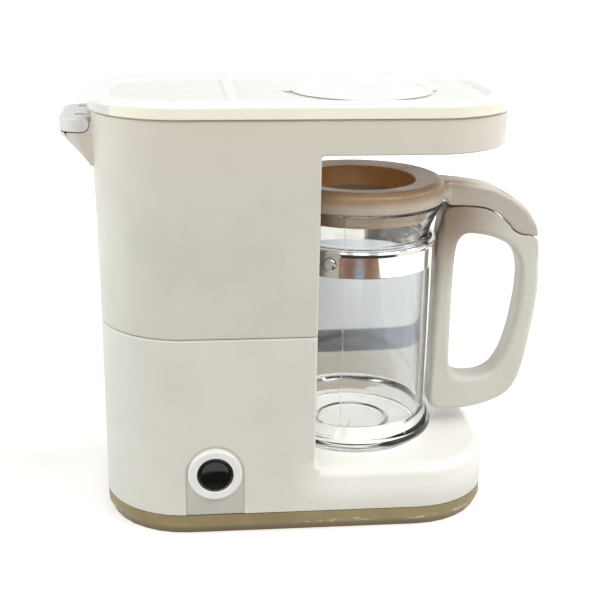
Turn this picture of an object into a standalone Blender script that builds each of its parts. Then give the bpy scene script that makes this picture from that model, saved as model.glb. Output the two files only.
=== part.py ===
"""Toy coffee maker: a drip machine with a pump, a lift-out carafe and a push switch.

Metres, +Z up. The origin is the middle of the flat underside, the carafe stands at +X and the front,
with the switch, faces -Y. Every moulding is its own object. Moving pieces hang from empties that lie on
their joints' axes.
"""

import math

import bmesh
import bpy
from mathutils import Matrix, Vector

for old in list(bpy.data.objects):
    bpy.data.objects.remove(old, do_unlink=True)

# Fits and facets
GAP = 0.0003
RUNNING_GAP = 0.0004
OVERCUT = 0.0020
MERGE_DISTANCE = 0.000001
SHARP_ANGLE = math.radians(35)
CORNER_STEPS = 8
SCOOP_STEPS = 12
ROUND_STEPS = 24
CARAFE_STEPS = 36
SMALL_STEPS = 12
FILLET_STEPS = 3
GRIP_STEPS = 2

# A rounded edge's middle point lies this share of its radius in from each face
MID_EDGE_SHARE = 0.3

# Housing
COLUMN_WIDTH = 0.0736
BAY_WIDTH = 0.0664
COLUMN_HORN_WIDTH = 0.0135
PLAN_RADIUS = 0.0300
WAIST_INSET = 0.0011
BASE_HEIGHT = 0.0072
PLATFORM_THICKNESS = 0.0158
LOWER_HEIGHT = 0.0717
BAY_HEIGHT = 0.1097
OVERHANG_DEPTH = 0.0119
COVER_THICKNESS = 0.0044
WALL = 0.0020
TONGUE_WALL = 0.0015
TONGUE_HEIGHT = 0.0028
TONGUE_ROOT = 0.0045
PLATFORM_ROUNDING = 0.0025
COLUMN_FILLET = 0.0020

HOUSING_WIDTH = COLUMN_WIDTH + BAY_WIDTH
PLATFORM_Z = BASE_HEIGHT + PLATFORM_THICKNESS
OVERHANG_Z = PLATFORM_Z + BAY_HEIGHT
COVER_Z = OVERHANG_Z + OVERHANG_DEPTH
TOP_Z = COVER_Z + COVER_THICKNESS
WALL_X = -HOUSING_WIDTH / 2
COLUMN_EDGE_X = WALL_X + COLUMN_WIDTH
PLATFORM_END_X = HOUSING_WIDTH / 2 - WAIST_INSET
TONGUE_INSET = WALL + GAP
INNER_INSET = TONGUE_INSET + TONGUE_WALL

# Carafe
CARAFE_STANDOFF = 0.0184
BODY_RADIUS = 0.0265
FOOT_RADIUS = 0.0295
FOOT_CONTACT_RADIUS = 0.0268
NECK_RADIUS = 0.0254
RIM_RADIUS = 0.0305
GLASS_WALL = 0.0018
GLASS_FLOOR = 0.0024
FOOT_BEVEL = 0.0024
FOOT_CURVE_SHARE = 0.6
FOOT_HEIGHT = 0.0056
FOOT_SHOULDER_HEIGHT = 0.0097
BAND_FOOT_HEIGHT = 0.0647
BAND_HEIGHT = 0.0094
NECK_LENGTH = 0.0021
FLARE_HEIGHT = 0.0119
FLARE_SHARES = ((0.2, 0.3), (0.6, 0.7))
PUNT_RADIUS = 0.0130
PUNT_RISE = 0.0006
PUNT_WIDTH = 0.0010
BAY_CLEARANCE = 0.0018

CARAFE_X = COLUMN_EDGE_X + CARAFE_STANDOFF
GLASS_Z = PLATFORM_Z + GAP
BAND_Z = GLASS_Z + BAND_FOOT_HEIGHT
NECK_Z = BAND_Z + BAND_HEIGHT + NECK_LENGTH / 2
RIM_Z = NECK_Z + FLARE_HEIGHT

# Band round the carafe
BAND_THICKNESS = 0.0014
BAND_LIP = 0.0008
BAND_EDGE = 0.0005
BAND_TAB_LENGTH = 0.0032
BAND_TAB_WIDTH = 0.0050
BAND_TAB_HEIGHT = 0.0064
RIVET_RADIUS = 0.0024
RIVET_HEIGHT = 0.0009
RIVET_SHARES = ((1.0, 0.4), (0.7, 0.85))
RIVET_ANGLE = math.radians(-118)

BAND_RADIUS = BODY_RADIUS + GAP + BAND_THICKNESS
LIP_RADIUS = BAND_RADIUS + BAND_LIP - BAND_EDGE
SCOOP_RADIUS = max(RIM_RADIUS, FOOT_RADIUS, LIP_RADIUS, BAND_RADIUS + RIVET_HEIGHT) + BAY_CLEARANCE
SCOOP_HALF_CHORD = math.sqrt(SCOOP_RADIUS ** 2 - CARAFE_STANDOFF ** 2)
HOUSING_DEPTH = 2 * (SCOOP_HALF_CHORD + COLUMN_HORN_WIDTH)

# Carafe lid
LID_HEIGHT = 0.0067
LID_HOLE_RADIUS = 0.0200
LID_ROUNDING = 0.0030
LID_SHOULDER_SHARES = ((0.13, 0.5), (0.5, 0.13))
LID_SKIRT_DEPTH = 0.0014
LID_SKIRT_WALL = 0.0014

# Handle: places along it are shares of its reach from the band and of its height
HANDLE_REACH = 0.0393
HANDLE_ABOVE_PLATFORM = 0.00545
HANDLE_TOP_BELOW_RIM = 0.0029
HANDLE_STANDOFF = 0.0009
HANDLE_WIDTH = 0.0112
GRIP_ROUNDING = 0.0026
SEAM_ROUNDING = 0.0007
HANDLE_CURVE_STEPS = 2
HANDLE_OUTER_SHARES = (
    (0.000, 0.060), (0.000, 0.230), (0.000, 0.500), (0.000, 0.720), (0.004, 0.830), (0.020, 0.915),
    (0.085, 0.993), (0.413, 0.989), (0.600, 0.937), (0.700, 0.885), (0.780, 0.864), (0.870, 0.858),
    (0.938, 0.834), (0.975, 0.720), (0.983, 0.590), (0.948, 0.420), (0.890, 0.235), (0.818, 0.130),
    (0.725, 0.076), (0.600, 0.044), (0.440, 0.020), (0.220, 0.006), (0.060, 0.018),
)
HANDLE_HOLE_SHARES = (
    (0.178, 0.235), (0.168, 0.330), (0.167, 0.530), (0.172, 0.700), (0.183, 0.790), (0.212, 0.842),
    (0.290, 0.868), (0.470, 0.857), (0.610, 0.832), (0.690, 0.805), (0.742, 0.775), (0.778, 0.740),
    (0.798, 0.700), (0.806, 0.640), (0.798, 0.560), (0.768, 0.440), (0.718, 0.325), (0.668, 0.262),
    (0.600, 0.212), (0.500, 0.184), (0.400, 0.176), (0.290, 0.180), (0.212, 0.200),
)
HANDLE_SEAM_STEPS = (6, 12)
ARM_LOWER_SHARES = (
    (-0.150, 1.046), (0.066, 1.046), (0.125, 1.014), (0.241, 1.0045), (0.415, 0.9945), (0.525, 0.971),
    (0.606, 0.9415), (0.663, 0.913), (0.706, 0.889), (0.782, 0.869), (0.871, 0.863), (0.920, 0.8555),
)
ARM_UPPER_SHARES = (
    (-0.150, 1.100), (0.040, 1.118), (0.130, 1.118), (0.250, 1.112), (0.460, 1.092), (0.590, 1.062),
    (0.690, 1.034), (0.775, 1.001), (0.832, 0.975), (0.888, 0.935), (0.922, 0.898), (0.932, 0.869),
)
ARM_WIDTH_SHARES = (1.700, 1.280, 1.060, 1.010, 1.000, 1.000, 1.000, 1.000, 1.000, 1.000, 1.000, 0.980)
ARM_ROUNDING = 0.0024

HANDLE_X = CARAFE_X + LIP_RADIUS
HANDLE_Z = PLATFORM_Z + HANDLE_ABOVE_PLATFORM
HANDLE_HEIGHT = RIM_Z - HANDLE_TOP_BELOW_RIM - HANDLE_Z

# Top cover and the filter cap in it
COVER_PROUD = 0.0010
COVER_EDGE = 0.0012
COVER_WEB = 0.0015
COVER_LIP_HEIGHT = 0.0024
POCKET_DEPTH = 0.0013
POCKET_SIDE_MARGIN = 0.0100
POCKET_END_MARGIN = 0.0055
POCKET_RADIUS = 0.0220
POCKET_INNER_RADIUS = 0.0030
POCKET_DRAFT = 0.0006
RIB_FROM_EDGE = 0.0270
RIB_WIDTH = 0.0022
CAP_RADIUS = 0.0245
CAP_HOLE_RADIUS = 0.0229
CAP_FLANGE = 0.0009
CAP_DISH = 0.0004
CAP_RIM_WIDTH = 0.0022
CAP_SKIRT_WALL = 0.0014
CAP_SKIRT_DEPTH = 0.0028
CAP_LUG_LENGTH = 0.0022
CAP_LUG_WIDTH = 0.0060
CAP_MARK_LENGTH = 0.0080
CAP_MARK_WIDTH = 0.0010

POCKET_Z = TOP_Z - POCKET_DEPTH
COVER_UNDERSIDE_Z = POCKET_Z - COVER_WEB
RIB_X = COLUMN_EDGE_X - RIB_FROM_EDGE

# Water filler on the left wall, with its hinged lid
FILLER_WIDTH = 0.0320
FILLER_REACH = 0.0105
FILLER_RADIUS = 0.0070
FILLER_LID_THICKNESS = 0.0050
FILLER_BELOW_SEAM = 0.0029
FILLER_LID_EDGE = 0.0013
FILLER_FACE_HEIGHT = 0.0008
FILLER_WALL = 0.0016
FILLER_ROOT = 0.0010
FILLER_WINDOW_DROP = 0.0020
EAR_WIDTH = 0.0026
EAR_SPACING = 0.0180
EAR_RADIUS = 0.0019
PIN_RADIUS = 0.0008
PIN_INSET = 0.0020
HINGE_STEP = 0.0001

FILLER_LID_TOP_Z = COVER_Z - FILLER_BELOW_SEAM
FILLER_LID_Z = FILLER_LID_TOP_Z - FILLER_LID_THICKNESS
FILLER_Z = FILLER_LID_Z - GAP
BARREL_RADIUS = FILLER_LID_THICKNESS / 2 - HINGE_STEP
HINGE_X = WALL_X - RUNNING_GAP - BARREL_RADIUS
HINGE_Z = FILLER_LID_Z + FILLER_LID_THICKNESS / 2

# Switch
SWITCH_FROM_WALL = 0.0390
SWITCH_HEIGHT = 0.0233
SLOT_WIDTH = 0.0200
PANEL_SETBACK = 0.0005
PANEL_FLANGE = 0.0014
PANEL_FLANGE_MARGIN = 0.0018
RING_RADIUS = 0.00925
RING_PROUD = 0.0026
RING_ROUNDING = 0.0010
RING_INNER_SHARE = 0.6
BARREL_BORE_RADIUS = 0.0067
BARREL_WALL = 0.0010
BARREL_LENGTH = 0.0060
NUT_THICKNESS = 0.0024
NUT_ACROSS_CORNERS = 0.0210
BUTTON_RECESS = 0.0003
BUTTON_DISH = 0.0006
BUTTON_EDGE = 0.0008
DISH_RADIUS_SHARE = 0.55
DISH_DEPTH_SHARE = 0.7
BUTTON_TRAVEL = 0.0018
SWITCH_BODY_RADIUS = 0.0082
SWITCH_BODY_LENGTH = 0.0150
TERMINAL_LENGTH = 0.0040
TERMINAL_WIDTH = 0.0028
TERMINAL_THICKNESS = 0.0008

LOWER_FRONT_Y = WAIST_INSET - HOUSING_DEPTH / 2
SWITCH_X = WALL_X + SWITCH_FROM_WALL
SWITCH_Z = SWITCH_HEIGHT
PANEL_Y = LOWER_FRONT_Y + PANEL_SETBACK
PANEL_BACK_Y = LOWER_FRONT_Y + WALL + GAP + PANEL_FLANGE

# Base plate
BASE_BEVEL = 0.0015
BASE_BEVEL_HEIGHT = 0.0030
BASE_FLOOR = 0.0030
LIP_HEIGHT = 0.0022
SCREW_PAD_RADIUS = 0.0032
SCREW_BOSS_RADIUS = 0.0044
SCREW_BOSS_HEIGHT = 0.0130
SCREW_HEAD_RADIUS = 0.0028
SCREW_HEAD_HEIGHT = 0.0016
SCREW_RECESS = 0.0004
SCREW_SHANK_RADIUS = 0.0013
SCREW_LENGTH = 0.0150
SCREW_BOSS_ROOT = 0.0007
SCREW_CORNER_ANGLE = math.radians(154)
SCREW_FROM_RIGHT_END = 0.0150
SCREW_FROM_SIDE = 0.0145

LIP_Z = BASE_HEIGHT + LIP_HEIGHT
CORNER_Y = HOUSING_DEPTH / 2 - PLAN_RADIUS
SCREW_SWING = PLAN_RADIUS - WAIST_INSET - WALL - SCREW_BOSS_RADIUS + SCREW_BOSS_ROOT
LEFT_SCREW_X = WALL_X + PLAN_RADIUS + SCREW_SWING * math.cos(SCREW_CORNER_ANGLE)
LEFT_SCREW_Y = CORNER_Y + SCREW_SWING * math.sin(SCREW_CORNER_ANGLE)
RIGHT_SCREW_X = PLATFORM_END_X - SCREW_FROM_RIGHT_END
RIGHT_SCREW_Y = HOUSING_DEPTH / 2 - SCREW_FROM_SIDE
SCREW_PLACES = (
    (LEFT_SCREW_X, -LEFT_SCREW_Y), (LEFT_SCREW_X, LEFT_SCREW_Y),
    (RIGHT_SCREW_X, -RIGHT_SCREW_Y), (RIGHT_SCREW_X, RIGHT_SCREW_Y),
)

# Batteries, lying along X under the platform
BATTERY_DIAMETER = 0.0142
BATTERY_LENGTH = 0.0502
BATTERY_NUB_RADIUS = 0.0027
BATTERY_NUB_LENGTH = 0.0012
BATTERY_EDGE = 0.0006
CONTACT_THICKNESS = 0.0005
CONTACT_HEIGHT = 0.0100
CONTACT_SPRING_LENGTH = 0.0034
CONTACT_SPRING_RADIUS = 0.0042
CONTACT_SPRING_TIP_SHARE = 0.65
WELL_WALL = 0.0015
WELL_FROM_END = 0.00475
DOOR_THICKNESS = 0.0016
DOOR_LEDGE = 0.0015
DOOR_TAB_WIDTH = 0.0110
DOOR_TAB_LENGTH = 0.0085
DOOR_SCREW_HEAD_RADIUS = 0.0024
DOOR_SCREW_HEAD_HEIGHT = 0.0008
DOOR_SCREW_LENGTH = 0.0062
DOOR_BOSS_RADIUS = 0.0034
DOOR_BOSS_HEIGHT = 0.0060

WELL_LENGTH = BATTERY_LENGTH + CONTACT_SPRING_LENGTH + 2 * CONTACT_THICKNESS + 4 * GAP
WELL_WIDTH = 2 * BATTERY_DIAMETER + 3 * GAP
WELL_X = PLATFORM_END_X - WELL_FROM_END - WELL_LENGTH / 2
WELL_TOP_Z = DOOR_THICKNESS + BATTERY_DIAMETER + 2 * GAP
BATTERY_Z = DOOR_THICKNESS + GAP + BATTERY_DIAMETER / 2
DOOR_SCREW_Y = WELL_WIDTH / 2 + DOOR_LEDGE + DOOR_TAB_LENGTH / 2

# Pump, tank and the water's way to the filter
PUMP_FROM_WALL = 0.0290
PUMP_Y = 0.0040
MOTOR_RADIUS = 0.0120
MOTOR_HEIGHT = 0.0260
MOTOR_EDGE = 0.0010
MOTOR_CUP_WALL = 0.0016
MOTOR_CUP_HEIGHT = 0.0050
PUMP_HEAD_RADIUS = 0.0126
PUMP_HEAD_HEIGHT = 0.0110
SPIGOT_RADIUS = 0.0024
SPIGOT_LENGTH = 0.0060
HOSE_WALL = 0.0012
TANK_WALL = 0.0015
TANK_CLEARANCE = 0.0006
TANK_SIDE_GAP = 0.0010
TANK_RIM_DROP = 0.0030
TANK_INNER_CORNER = 0.0040
TUBE_RADIUS = 0.0022
RISER_FROM_EDGE = 0.0076
RISER_FROM_BACK = 0.0100
TUBE_BELOW_COVER = 0.0042
TUBE_BEND = 0.0100
TUBE_POINT_SPACING = 0.0055
TUBE_RISE_SHARE = 1.5
TUBE_TURN_SHARE = 1.4
TUBE_OVER_SHARES = (0.9, 0.8)
BASKET_RADIUS = 0.0180
BASKET_HEIGHT = 0.0045
BASKET_WALL = 0.0012
SPOUT_RADIUS = 0.0030
SPOUT_BORE = 0.0016
SPOUT_DROP = 0.0040

PUMP_X = WALL_X + PUMP_FROM_WALL
MOTOR_Z = BASE_FLOOR + GAP
PUMP_HEAD_Z = MOTOR_Z + MOTOR_HEIGHT + GAP
PUMP_TOP_Z = PUMP_HEAD_Z + PUMP_HEAD_HEIGHT
TANK_Z = LOWER_HEIGHT + TONGUE_HEIGHT + GAP
BASKET_Z = OVERHANG_Z + WALL + GAP
FILLER_FLOOR_Z = FILLER_Z - FILLER_FACE_HEIGHT - FILLER_REACH
TANK_RIM_Z = FILLER_FLOOR_Z - TANK_RIM_DROP


def srgb(red, green, blue):
    """A display colour, 0 to 255, as the linear values that the shader takes."""
    channels = [c / 255 for c in (red, green, blue)]
    return [c / 12.92 if c <= 0.04045 else ((c + 0.055) / 1.055) ** 2.4 for c in channels] + [1.0]


def material(name, colour, roughness, metallic=0.0, transmission=0.0):
    made = bpy.data.materials.new(name)
    made.use_nodes = True
    shader = made.node_tree.nodes["Principled BSDF"]
    shader.inputs["Base Color"].default_value = srgb(*colour)
    shader.inputs["Roughness"].default_value = roughness
    shader.inputs["Metallic"].default_value = metallic
    shader.inputs["Transmission Weight"].default_value = transmission
    return made


CREAM = material("cream_plastic", (222, 218, 206), 0.38)
IVORY = material("ivory_gloss", (246, 243, 234), 0.18)
OLIVE = material("olive_plastic", (146, 135, 108), 0.45)
CHROME = material("chrome", (214, 216, 220), 0.08, 1.0)
CLEAR = material("clear_plastic", (240, 244, 244), 0.05, 0.0, 1.0)
BLACK = material("black_gloss", (14, 14, 15), 0.12)
WHITE = material("white_gloss", (240, 240, 238), 0.22)
STEEL = material("steel", (176, 178, 182), 0.30, 1.0)
HOSE = material("hose_silicone", (214, 220, 220), 0.35)
DARK = material("dark_plastic", (52, 52, 54), 0.5)
CELL = material("battery_wrap", (78, 92, 104), 0.3)


def finish_object(name, bm, finish, location=(0, 0, 0), rotation=(0, 0, 0)):
    """Turns a bmesh into a smooth-shaded object with its faces pointing out."""
    bmesh.ops.recalc_face_normals(bm, faces=bm.faces)
    mesh = bpy.data.meshes.new(name)
    bm.to_mesh(mesh)
    bm.free()
    mesh.shade_smooth()
    mesh.set_sharp_from_angle(angle=SHARP_ANGLE)
    mesh.materials.append(finish)
    made = bpy.data.objects.new(name, mesh)
    made.location = location
    made.rotation_euler = rotation
    bpy.context.scene.collection.objects.link(made)
    return made


def loft(name, finish, rings, upright=True):
    """A solid through closed rings of (points, place), the same number of points in each.

    The points lie in plan and the place is a height or, with upright off, they lie in X and Z and the
    place is along Y.
    """
    bm = bmesh.new()
    rows = []
    for points, place in rings:
        spots = [(a, b, place) if upright else (a, place, b) for a, b in points]
        rows.append([bm.verts.new(spot) for spot in spots])
    count = len(rows[0])
    for lower, upper in zip(rows, rows[1:]):
        for i in range(count):
            j = (i + 1) % count
            bm.faces.new((lower[i], lower[j], upper[j], upper[i]))
    bm.faces.new(rows[0])
    bm.faces.new(rows[-1])
    return finish_object(name, bm, finish)


def turned(name, finish, profile, location=(0, 0, 0), rotation=(0, 0, 0), steps=ROUND_STEPS):
    """A solid turned about its own Z axis from (radius, height) points.

    A profile that starts and ends on the axis makes a solid body, and any other is closed into a ring.
    """
    bm = bmesh.new()
    verts = [bm.verts.new((radius, 0, height)) for radius, height in profile]
    edges = [bm.edges.new(pair) for pair in zip(verts, verts[1:])]
    if profile[0][0] > 0:
        edges.append(bm.edges.new((verts[-1], verts[0])))
    bmesh.ops.spin(bm, geom=verts + edges, cent=(0, 0, 0), axis=(0, 0, 1), angle=math.tau, steps=steps)
    bmesh.ops.remove_doubles(bm, verts=bm.verts, dist=MERGE_DISTANCE)
    return finish_object(name, bm, finish, location, rotation)


def rod(name, finish, radius, low, high, location=(0, 0, 0), rotation=(0, 0, 0), steps=SMALL_STEPS):
    """A straight round bar, or a prism of few steps, from low to high along its own Z axis."""
    bm = bmesh.new()
    place = Matrix.Translation((0, 0, (low + high) / 2))
    bmesh.ops.create_cone(bm, cap_ends=True, segments=steps, radius1=radius, radius2=radius,
                          depth=high - low, matrix=place)
    return finish_object(name, bm, finish, location, rotation)


def box(name, finish, low, high):
    corners = ((low[0], low[1]), (high[0], low[1]), (high[0], high[1]), (low[0], high[1]))
    return loft(name, finish, ((corners, low[2]), (corners, high[2])))


def combine(target, other, operation):
    """Adds other to target, or takes it away, and hides it as a helper."""
    other.hide_render = True
    other.display_type = "WIRE"
    modifier = target.modifiers.new(other.name, "BOOLEAN")
    modifier.operation = operation
    modifier.solver = "EXACT"
    modifier.object = other


def join(target, *others):
    for other in others:
        combine(target, other, "UNION")


def cut(target, *cutters):
    for cutter in cutters:
        combine(target, cutter, "DIFFERENCE")


NUT_STEPS = 6
FACING_FRONT = (math.pi / 2, 0, 0)
FACING_BACK = (-math.pi / 2, 0, 0)
FACING_RIGHT = (0, math.pi / 2, 0)
FACING_LEFT = (0, -math.pi / 2, 0)


def arc(centre_x, centre_y, radius, start, stop, steps=CORNER_STEPS):
    """Points round an arc, ends included, from one angle to the other in degrees."""
    angles = [math.radians(start + (stop - start) * i / steps) for i in range(steps + 1)]
    return [(centre_x + radius * math.cos(a), centre_y + radius * math.sin(a)) for a in angles]


def rounded_plan(left, right, half_depth, left_radius, right_radius):
    """A rectangle in plan whose left and right corners have their own radii."""
    return (
        arc(right - right_radius, right_radius - half_depth, right_radius, -90, 0)
        + arc(right - right_radius, half_depth - right_radius, right_radius, 0, 90)
        + arc(left + left_radius, half_depth - left_radius, left_radius, 90, 180)
        + arc(left + left_radius, left_radius - half_depth, left_radius, 180, 270)
    )


def footprint(inset):
    """The housing's whole plan, drawn in by inset on every side."""
    half_width = HOUSING_WIDTH / 2 - inset
    radius = PLAN_RADIUS - inset
    return rounded_plan(-half_width, half_width, HOUSING_DEPTH / 2 - inset, radius, radius)


def column_plan(inset, bay_inset):
    """The left end of the housing, closed by a wall that is scooped out round the carafe."""
    half_width = HOUSING_WIDTH / 2 - inset
    half_depth = HOUSING_DEPTH / 2 - inset
    radius = PLAN_RADIUS - inset
    edge = COLUMN_EDGE_X - bay_inset
    scoop = SCOOP_RADIUS + bay_inset
    reach = math.degrees(math.acos((CARAFE_X - edge) / scoop))
    return (
        [(edge, -half_depth)]
        + arc(CARAFE_X, 0, scoop, 180 + reach, 180 - reach, SCOOP_STEPS)
        + [(edge, half_depth)]
        + arc(radius - half_width, half_depth - radius, radius, 90, 180)
        + arc(radius - half_width, radius - half_depth, radius, 180, 270)
    )


def platform_plan(inset):
    """The right end of the lower housing, which runs in under the column's scooped wall."""
    left = CARAFE_X - SCOOP_RADIUS - WALL
    right = HOUSING_WIDTH / 2 - inset
    half_depth = HOUSING_DEPTH / 2 - inset
    radius = PLAN_RADIUS - inset
    return (
        [(left, -half_depth)]
        + arc(right - radius, radius - half_depth, radius, -90, 0)
        + arc(right - radius, half_depth - radius, radius, 0, 90)
        + [(left, half_depth)]
    )


def screw_boss(number, place):
    """A blind tube that takes a base screw, hung from the lower housing."""
    hole = SCREW_SHANK_RADIUS + GAP
    wide = SCREW_BOSS_RADIUS
    low = LIP_Z + GAP
    left_side = place[0] < 0
    high = low + SCREW_BOSS_HEIGHT if left_side else PLATFORM_Z - WALL / 2
    floor = high - WALL
    profile = ((0, floor), (hole, floor), (hole, low), (wide, low), (wide, high), (0, high))
    return turned(f"screw_boss_{number}", CREAM, profile, (*place, 0), steps=SMALL_STEPS)


def make_lower_housing():
    """Column foot, carafe platform and the arched slot for the switch, as one shell open below."""
    low = BASE_HEIGHT + GAP
    shoulder = LOWER_HEIGHT - GAP / 2
    rings = [(column_plan(WAIST_INSET, -COLUMN_FILLET), low)]
    for step in range(FILLET_STEPS + 1):
        turn = math.pi / 2 * step / FILLET_STEPS
        flare = COLUMN_FILLET * (1 - math.sin(turn))
        rise = COLUMN_FILLET * (1 - math.cos(turn))
        rings.append((column_plan(WAIST_INSET, -flare), PLATFORM_Z + rise))
    rings.append((column_plan(WAIST_INSET, 0), shoulder))
    rings.append((column_plan(WAIST_INSET + TONGUE_INSET, TONGUE_INSET), shoulder))
    rings.append((column_plan(WAIST_INSET + TONGUE_INSET, TONGUE_INSET), LOWER_HEIGHT + TONGUE_HEIGHT))
    housing = loft("lower_housing", CREAM, rings)

    rings = [(platform_plan(WAIST_INSET), low)]
    for step in range(FILLET_STEPS + 1):
        turn = math.pi / 2 * step / FILLET_STEPS
        inset = WAIST_INSET + PLATFORM_ROUNDING * (1 - math.cos(turn))
        rings.append((platform_plan(inset), PLATFORM_Z - PLATFORM_ROUNDING * (1 - math.sin(turn))))
    join(housing, loft("platform_form", CREAM, rings))

    narrow = LOWER_HEIGHT - TONGUE_ROOT
    column_room = loft("lower_column_room", CREAM, (
        (column_plan(WAIST_INSET + WALL, WALL), low - OVERCUT),
        (column_plan(WAIST_INSET + WALL, WALL), narrow),
        (column_plan(WAIST_INSET + INNER_INSET, INNER_INSET), narrow + TONGUE_WALL),
        (column_plan(WAIST_INSET + INNER_INSET, INNER_INSET), LOWER_HEIGHT + TONGUE_HEIGHT + OVERCUT),
    ))
    platform_room = loft("platform_room", CREAM, (
        (platform_plan(WAIST_INSET + WALL), low - OVERCUT),
        (platform_plan(WAIST_INSET + WALL), PLATFORM_Z - WALL),
    ))
    slot = slot_form("switch_slot", 0, low - OVERCUT, LOWER_FRONT_Y - OVERCUT,
                     LOWER_FRONT_Y + WALL + OVERCUT)
    cut(housing, column_room, platform_room, slot)
    for number, place in enumerate(SCREW_PLACES, 1):
        join(housing, screw_boss(number, place))
    return housing


def slot_form(name, inset, bottom, front, back):
    """The arch-topped shape that the switch stands in, running back along Y."""
    radius = SLOT_WIDTH / 2 - inset
    outline = [(SWITCH_X - radius, bottom), (SWITCH_X + radius, bottom)]
    outline += arc(SWITCH_X, SWITCH_Z, radius, 0, 180, SMALL_STEPS)
    return loft(name, CREAM, ((outline, front), (outline, back)), upright=False)


def make_switch():
    """Arched panel, bezel with its barrel and nut, the sealed switch behind and the button in front."""
    panel = slot_form("switch_panel", GAP, BASE_HEIGHT + GAP, PANEL_Y, PANEL_BACK_Y)
    join(panel, slot_form("panel_flange", -PANEL_FLANGE_MARGIN, LIP_Z + GAP,
                          PANEL_BACK_Y - PANEL_FLANGE, PANEL_BACK_Y))
    cut(panel, box("panel_foot_room", CREAM,
                   (SWITCH_X - SLOT_WIDTH, PANEL_BACK_Y - PANEL_FLANGE - GAP, BASE_HEIGHT - OVERCUT),
                   (SWITCH_X + SLOT_WIDTH, PANEL_BACK_Y + OVERCUT, LIP_Z + GAP)))

    barrel = BARREL_BORE_RADIUS + BARREL_WALL
    where = (SWITCH_X, PANEL_Y, SWITCH_Z)
    depth = PANEL_BACK_Y - PANEL_Y
    cut(panel, rod("barrel_hole", CREAM, barrel + GAP, -depth - OVERCUT, OVERCUT, where,
                   FACING_FRONT, ROUND_STEPS))

    inner_rounding = RING_ROUNDING * RING_INNER_SHARE
    edge = RING_ROUNDING * MID_EDGE_SHARE
    turned("switch_ring", WHITE, (
        (BARREL_BORE_RADIUS, -BARREL_LENGTH), (barrel, -BARREL_LENGTH), (barrel, GAP), (RING_RADIUS, GAP),
        (RING_RADIUS, RING_PROUD - RING_ROUNDING), (RING_RADIUS - edge, RING_PROUD - edge),
        (RING_RADIUS - RING_ROUNDING, RING_PROUD), (BARREL_BORE_RADIUS + inner_rounding, RING_PROUD),
        (BARREL_BORE_RADIUS, RING_PROUD - inner_rounding),
    ), where, FACING_FRONT)

    nut_face = -depth - GAP
    nut = rod("switch_nut", STEEL, NUT_ACROSS_CORNERS / 2, nut_face - NUT_THICKNESS, nut_face, where,
              FACING_FRONT, NUT_STEPS)
    cut(nut, rod("nut_hole", STEEL, barrel + GAP, -depth - NUT_THICKNESS - OVERCUT, OVERCUT - depth, where,
                 FACING_FRONT, ROUND_STEPS))

    face = -BARREL_LENGTH - GAP
    back = face - SWITCH_BODY_LENGTH
    body = rod("switch_body", DARK, SWITCH_BODY_RADIUS, back, face, where, FACING_FRONT, ROUND_STEPS)
    back_y = PANEL_Y - back
    for side in (-1, 1):
        left = SWITCH_X + side * SWITCH_BODY_RADIUS / 2 - TERMINAL_THICKNESS / 2
        name = "terminal_left" if side < 0 else "terminal_right"
        join(body, box(name, STEEL, (left, back_y - OVERCUT, SWITCH_Z - TERMINAL_WIDTH / 2),
                       (left + TERMINAL_THICKNESS, back_y + TERMINAL_LENGTH, SWITCH_Z + TERMINAL_WIDTH / 2)))

    radius = BARREL_BORE_RADIUS - RUNNING_GAP
    front = RING_PROUD - BUTTON_RECESS
    seat = face + GAP + BUTTON_TRAVEL
    edge = BUTTON_EDGE * MID_EDGE_SHARE
    button = turned("button_cap", BLACK, (
        (0, seat), (radius, seat), (radius, front - BUTTON_EDGE), (radius - edge, front - edge),
        (radius - BUTTON_EDGE, front), (radius * DISH_RADIUS_SHARE, front - BUTTON_DISH * DISH_DEPTH_SHARE),
        (0, front - BUTTON_DISH),
    ), where, FACING_FRONT)
    hang(button, "button_axis", where)


def hang(piece, name, location):
    """Parents a piece to an empty at its joint's axis, and leaves the piece where it is."""
    empty = bpy.data.objects.get(name)
    if empty is None:
        empty = bpy.data.objects.new(name, None)
        empty.location = location
        bpy.context.scene.collection.objects.link(empty)
    piece.parent = empty
    piece.location = Vector(piece.location) - Vector(location)


def make_upper_housing():
    """Column head, overhang and the filler's funnel, as one shell open above and below the column."""
    low = LOWER_HEIGHT + GAP / 2
    high = COVER_Z - GAP
    housing = loft("upper_housing", CREAM, ((footprint(WAIST_INSET), low), (footprint(0), high)))

    far_x = HOUSING_WIDTH
    far_y = HOUSING_DEPTH
    reach = math.degrees(math.acos((CARAFE_X - COLUMN_EDGE_X) / SCOOP_RADIUS))
    bay = (
        [(COLUMN_EDGE_X, -far_y), (far_x, -far_y), (far_x, far_y), (COLUMN_EDGE_X, far_y)]
        + arc(CARAFE_X, 0, SCOOP_RADIUS, 180 - reach, 180 + reach, SCOOP_STEPS)
    )
    cut(housing, loft("bay_room", CREAM, ((bay, low - OVERCUT), (bay, OVERHANG_Z))))

    join(housing, make_filler_form())
    for side in (-1, 1):
        join(housing, make_ear(side))

    drawn_in = WAIST_INSET * OVERHANG_DEPTH / (high - low)
    cut(housing, loft("upper_column_room", CREAM, (
        (column_plan(WAIST_INSET + WALL, WALL), low - OVERCUT),
        (column_plan(drawn_in + WALL, WALL), OVERHANG_Z + WALL + OVERCUT),
    )))
    cut(housing, loft("overhang_room", CREAM, (
        (footprint(WAIST_INSET + WALL), OVERHANG_Z + WALL),
        (footprint(WAIST_INSET + WALL), high + OVERCUT),
    )))
    cut(housing, make_filler_room())
    spout_hole = SPOUT_RADIUS + GAP
    cut(housing, rod("spout_hole", CREAM, spout_hole, OVERHANG_Z - OVERCUT, OVERHANG_Z + WALL + OVERCUT,
                     (CARAFE_X, 0, 0)))
    return housing


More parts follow.
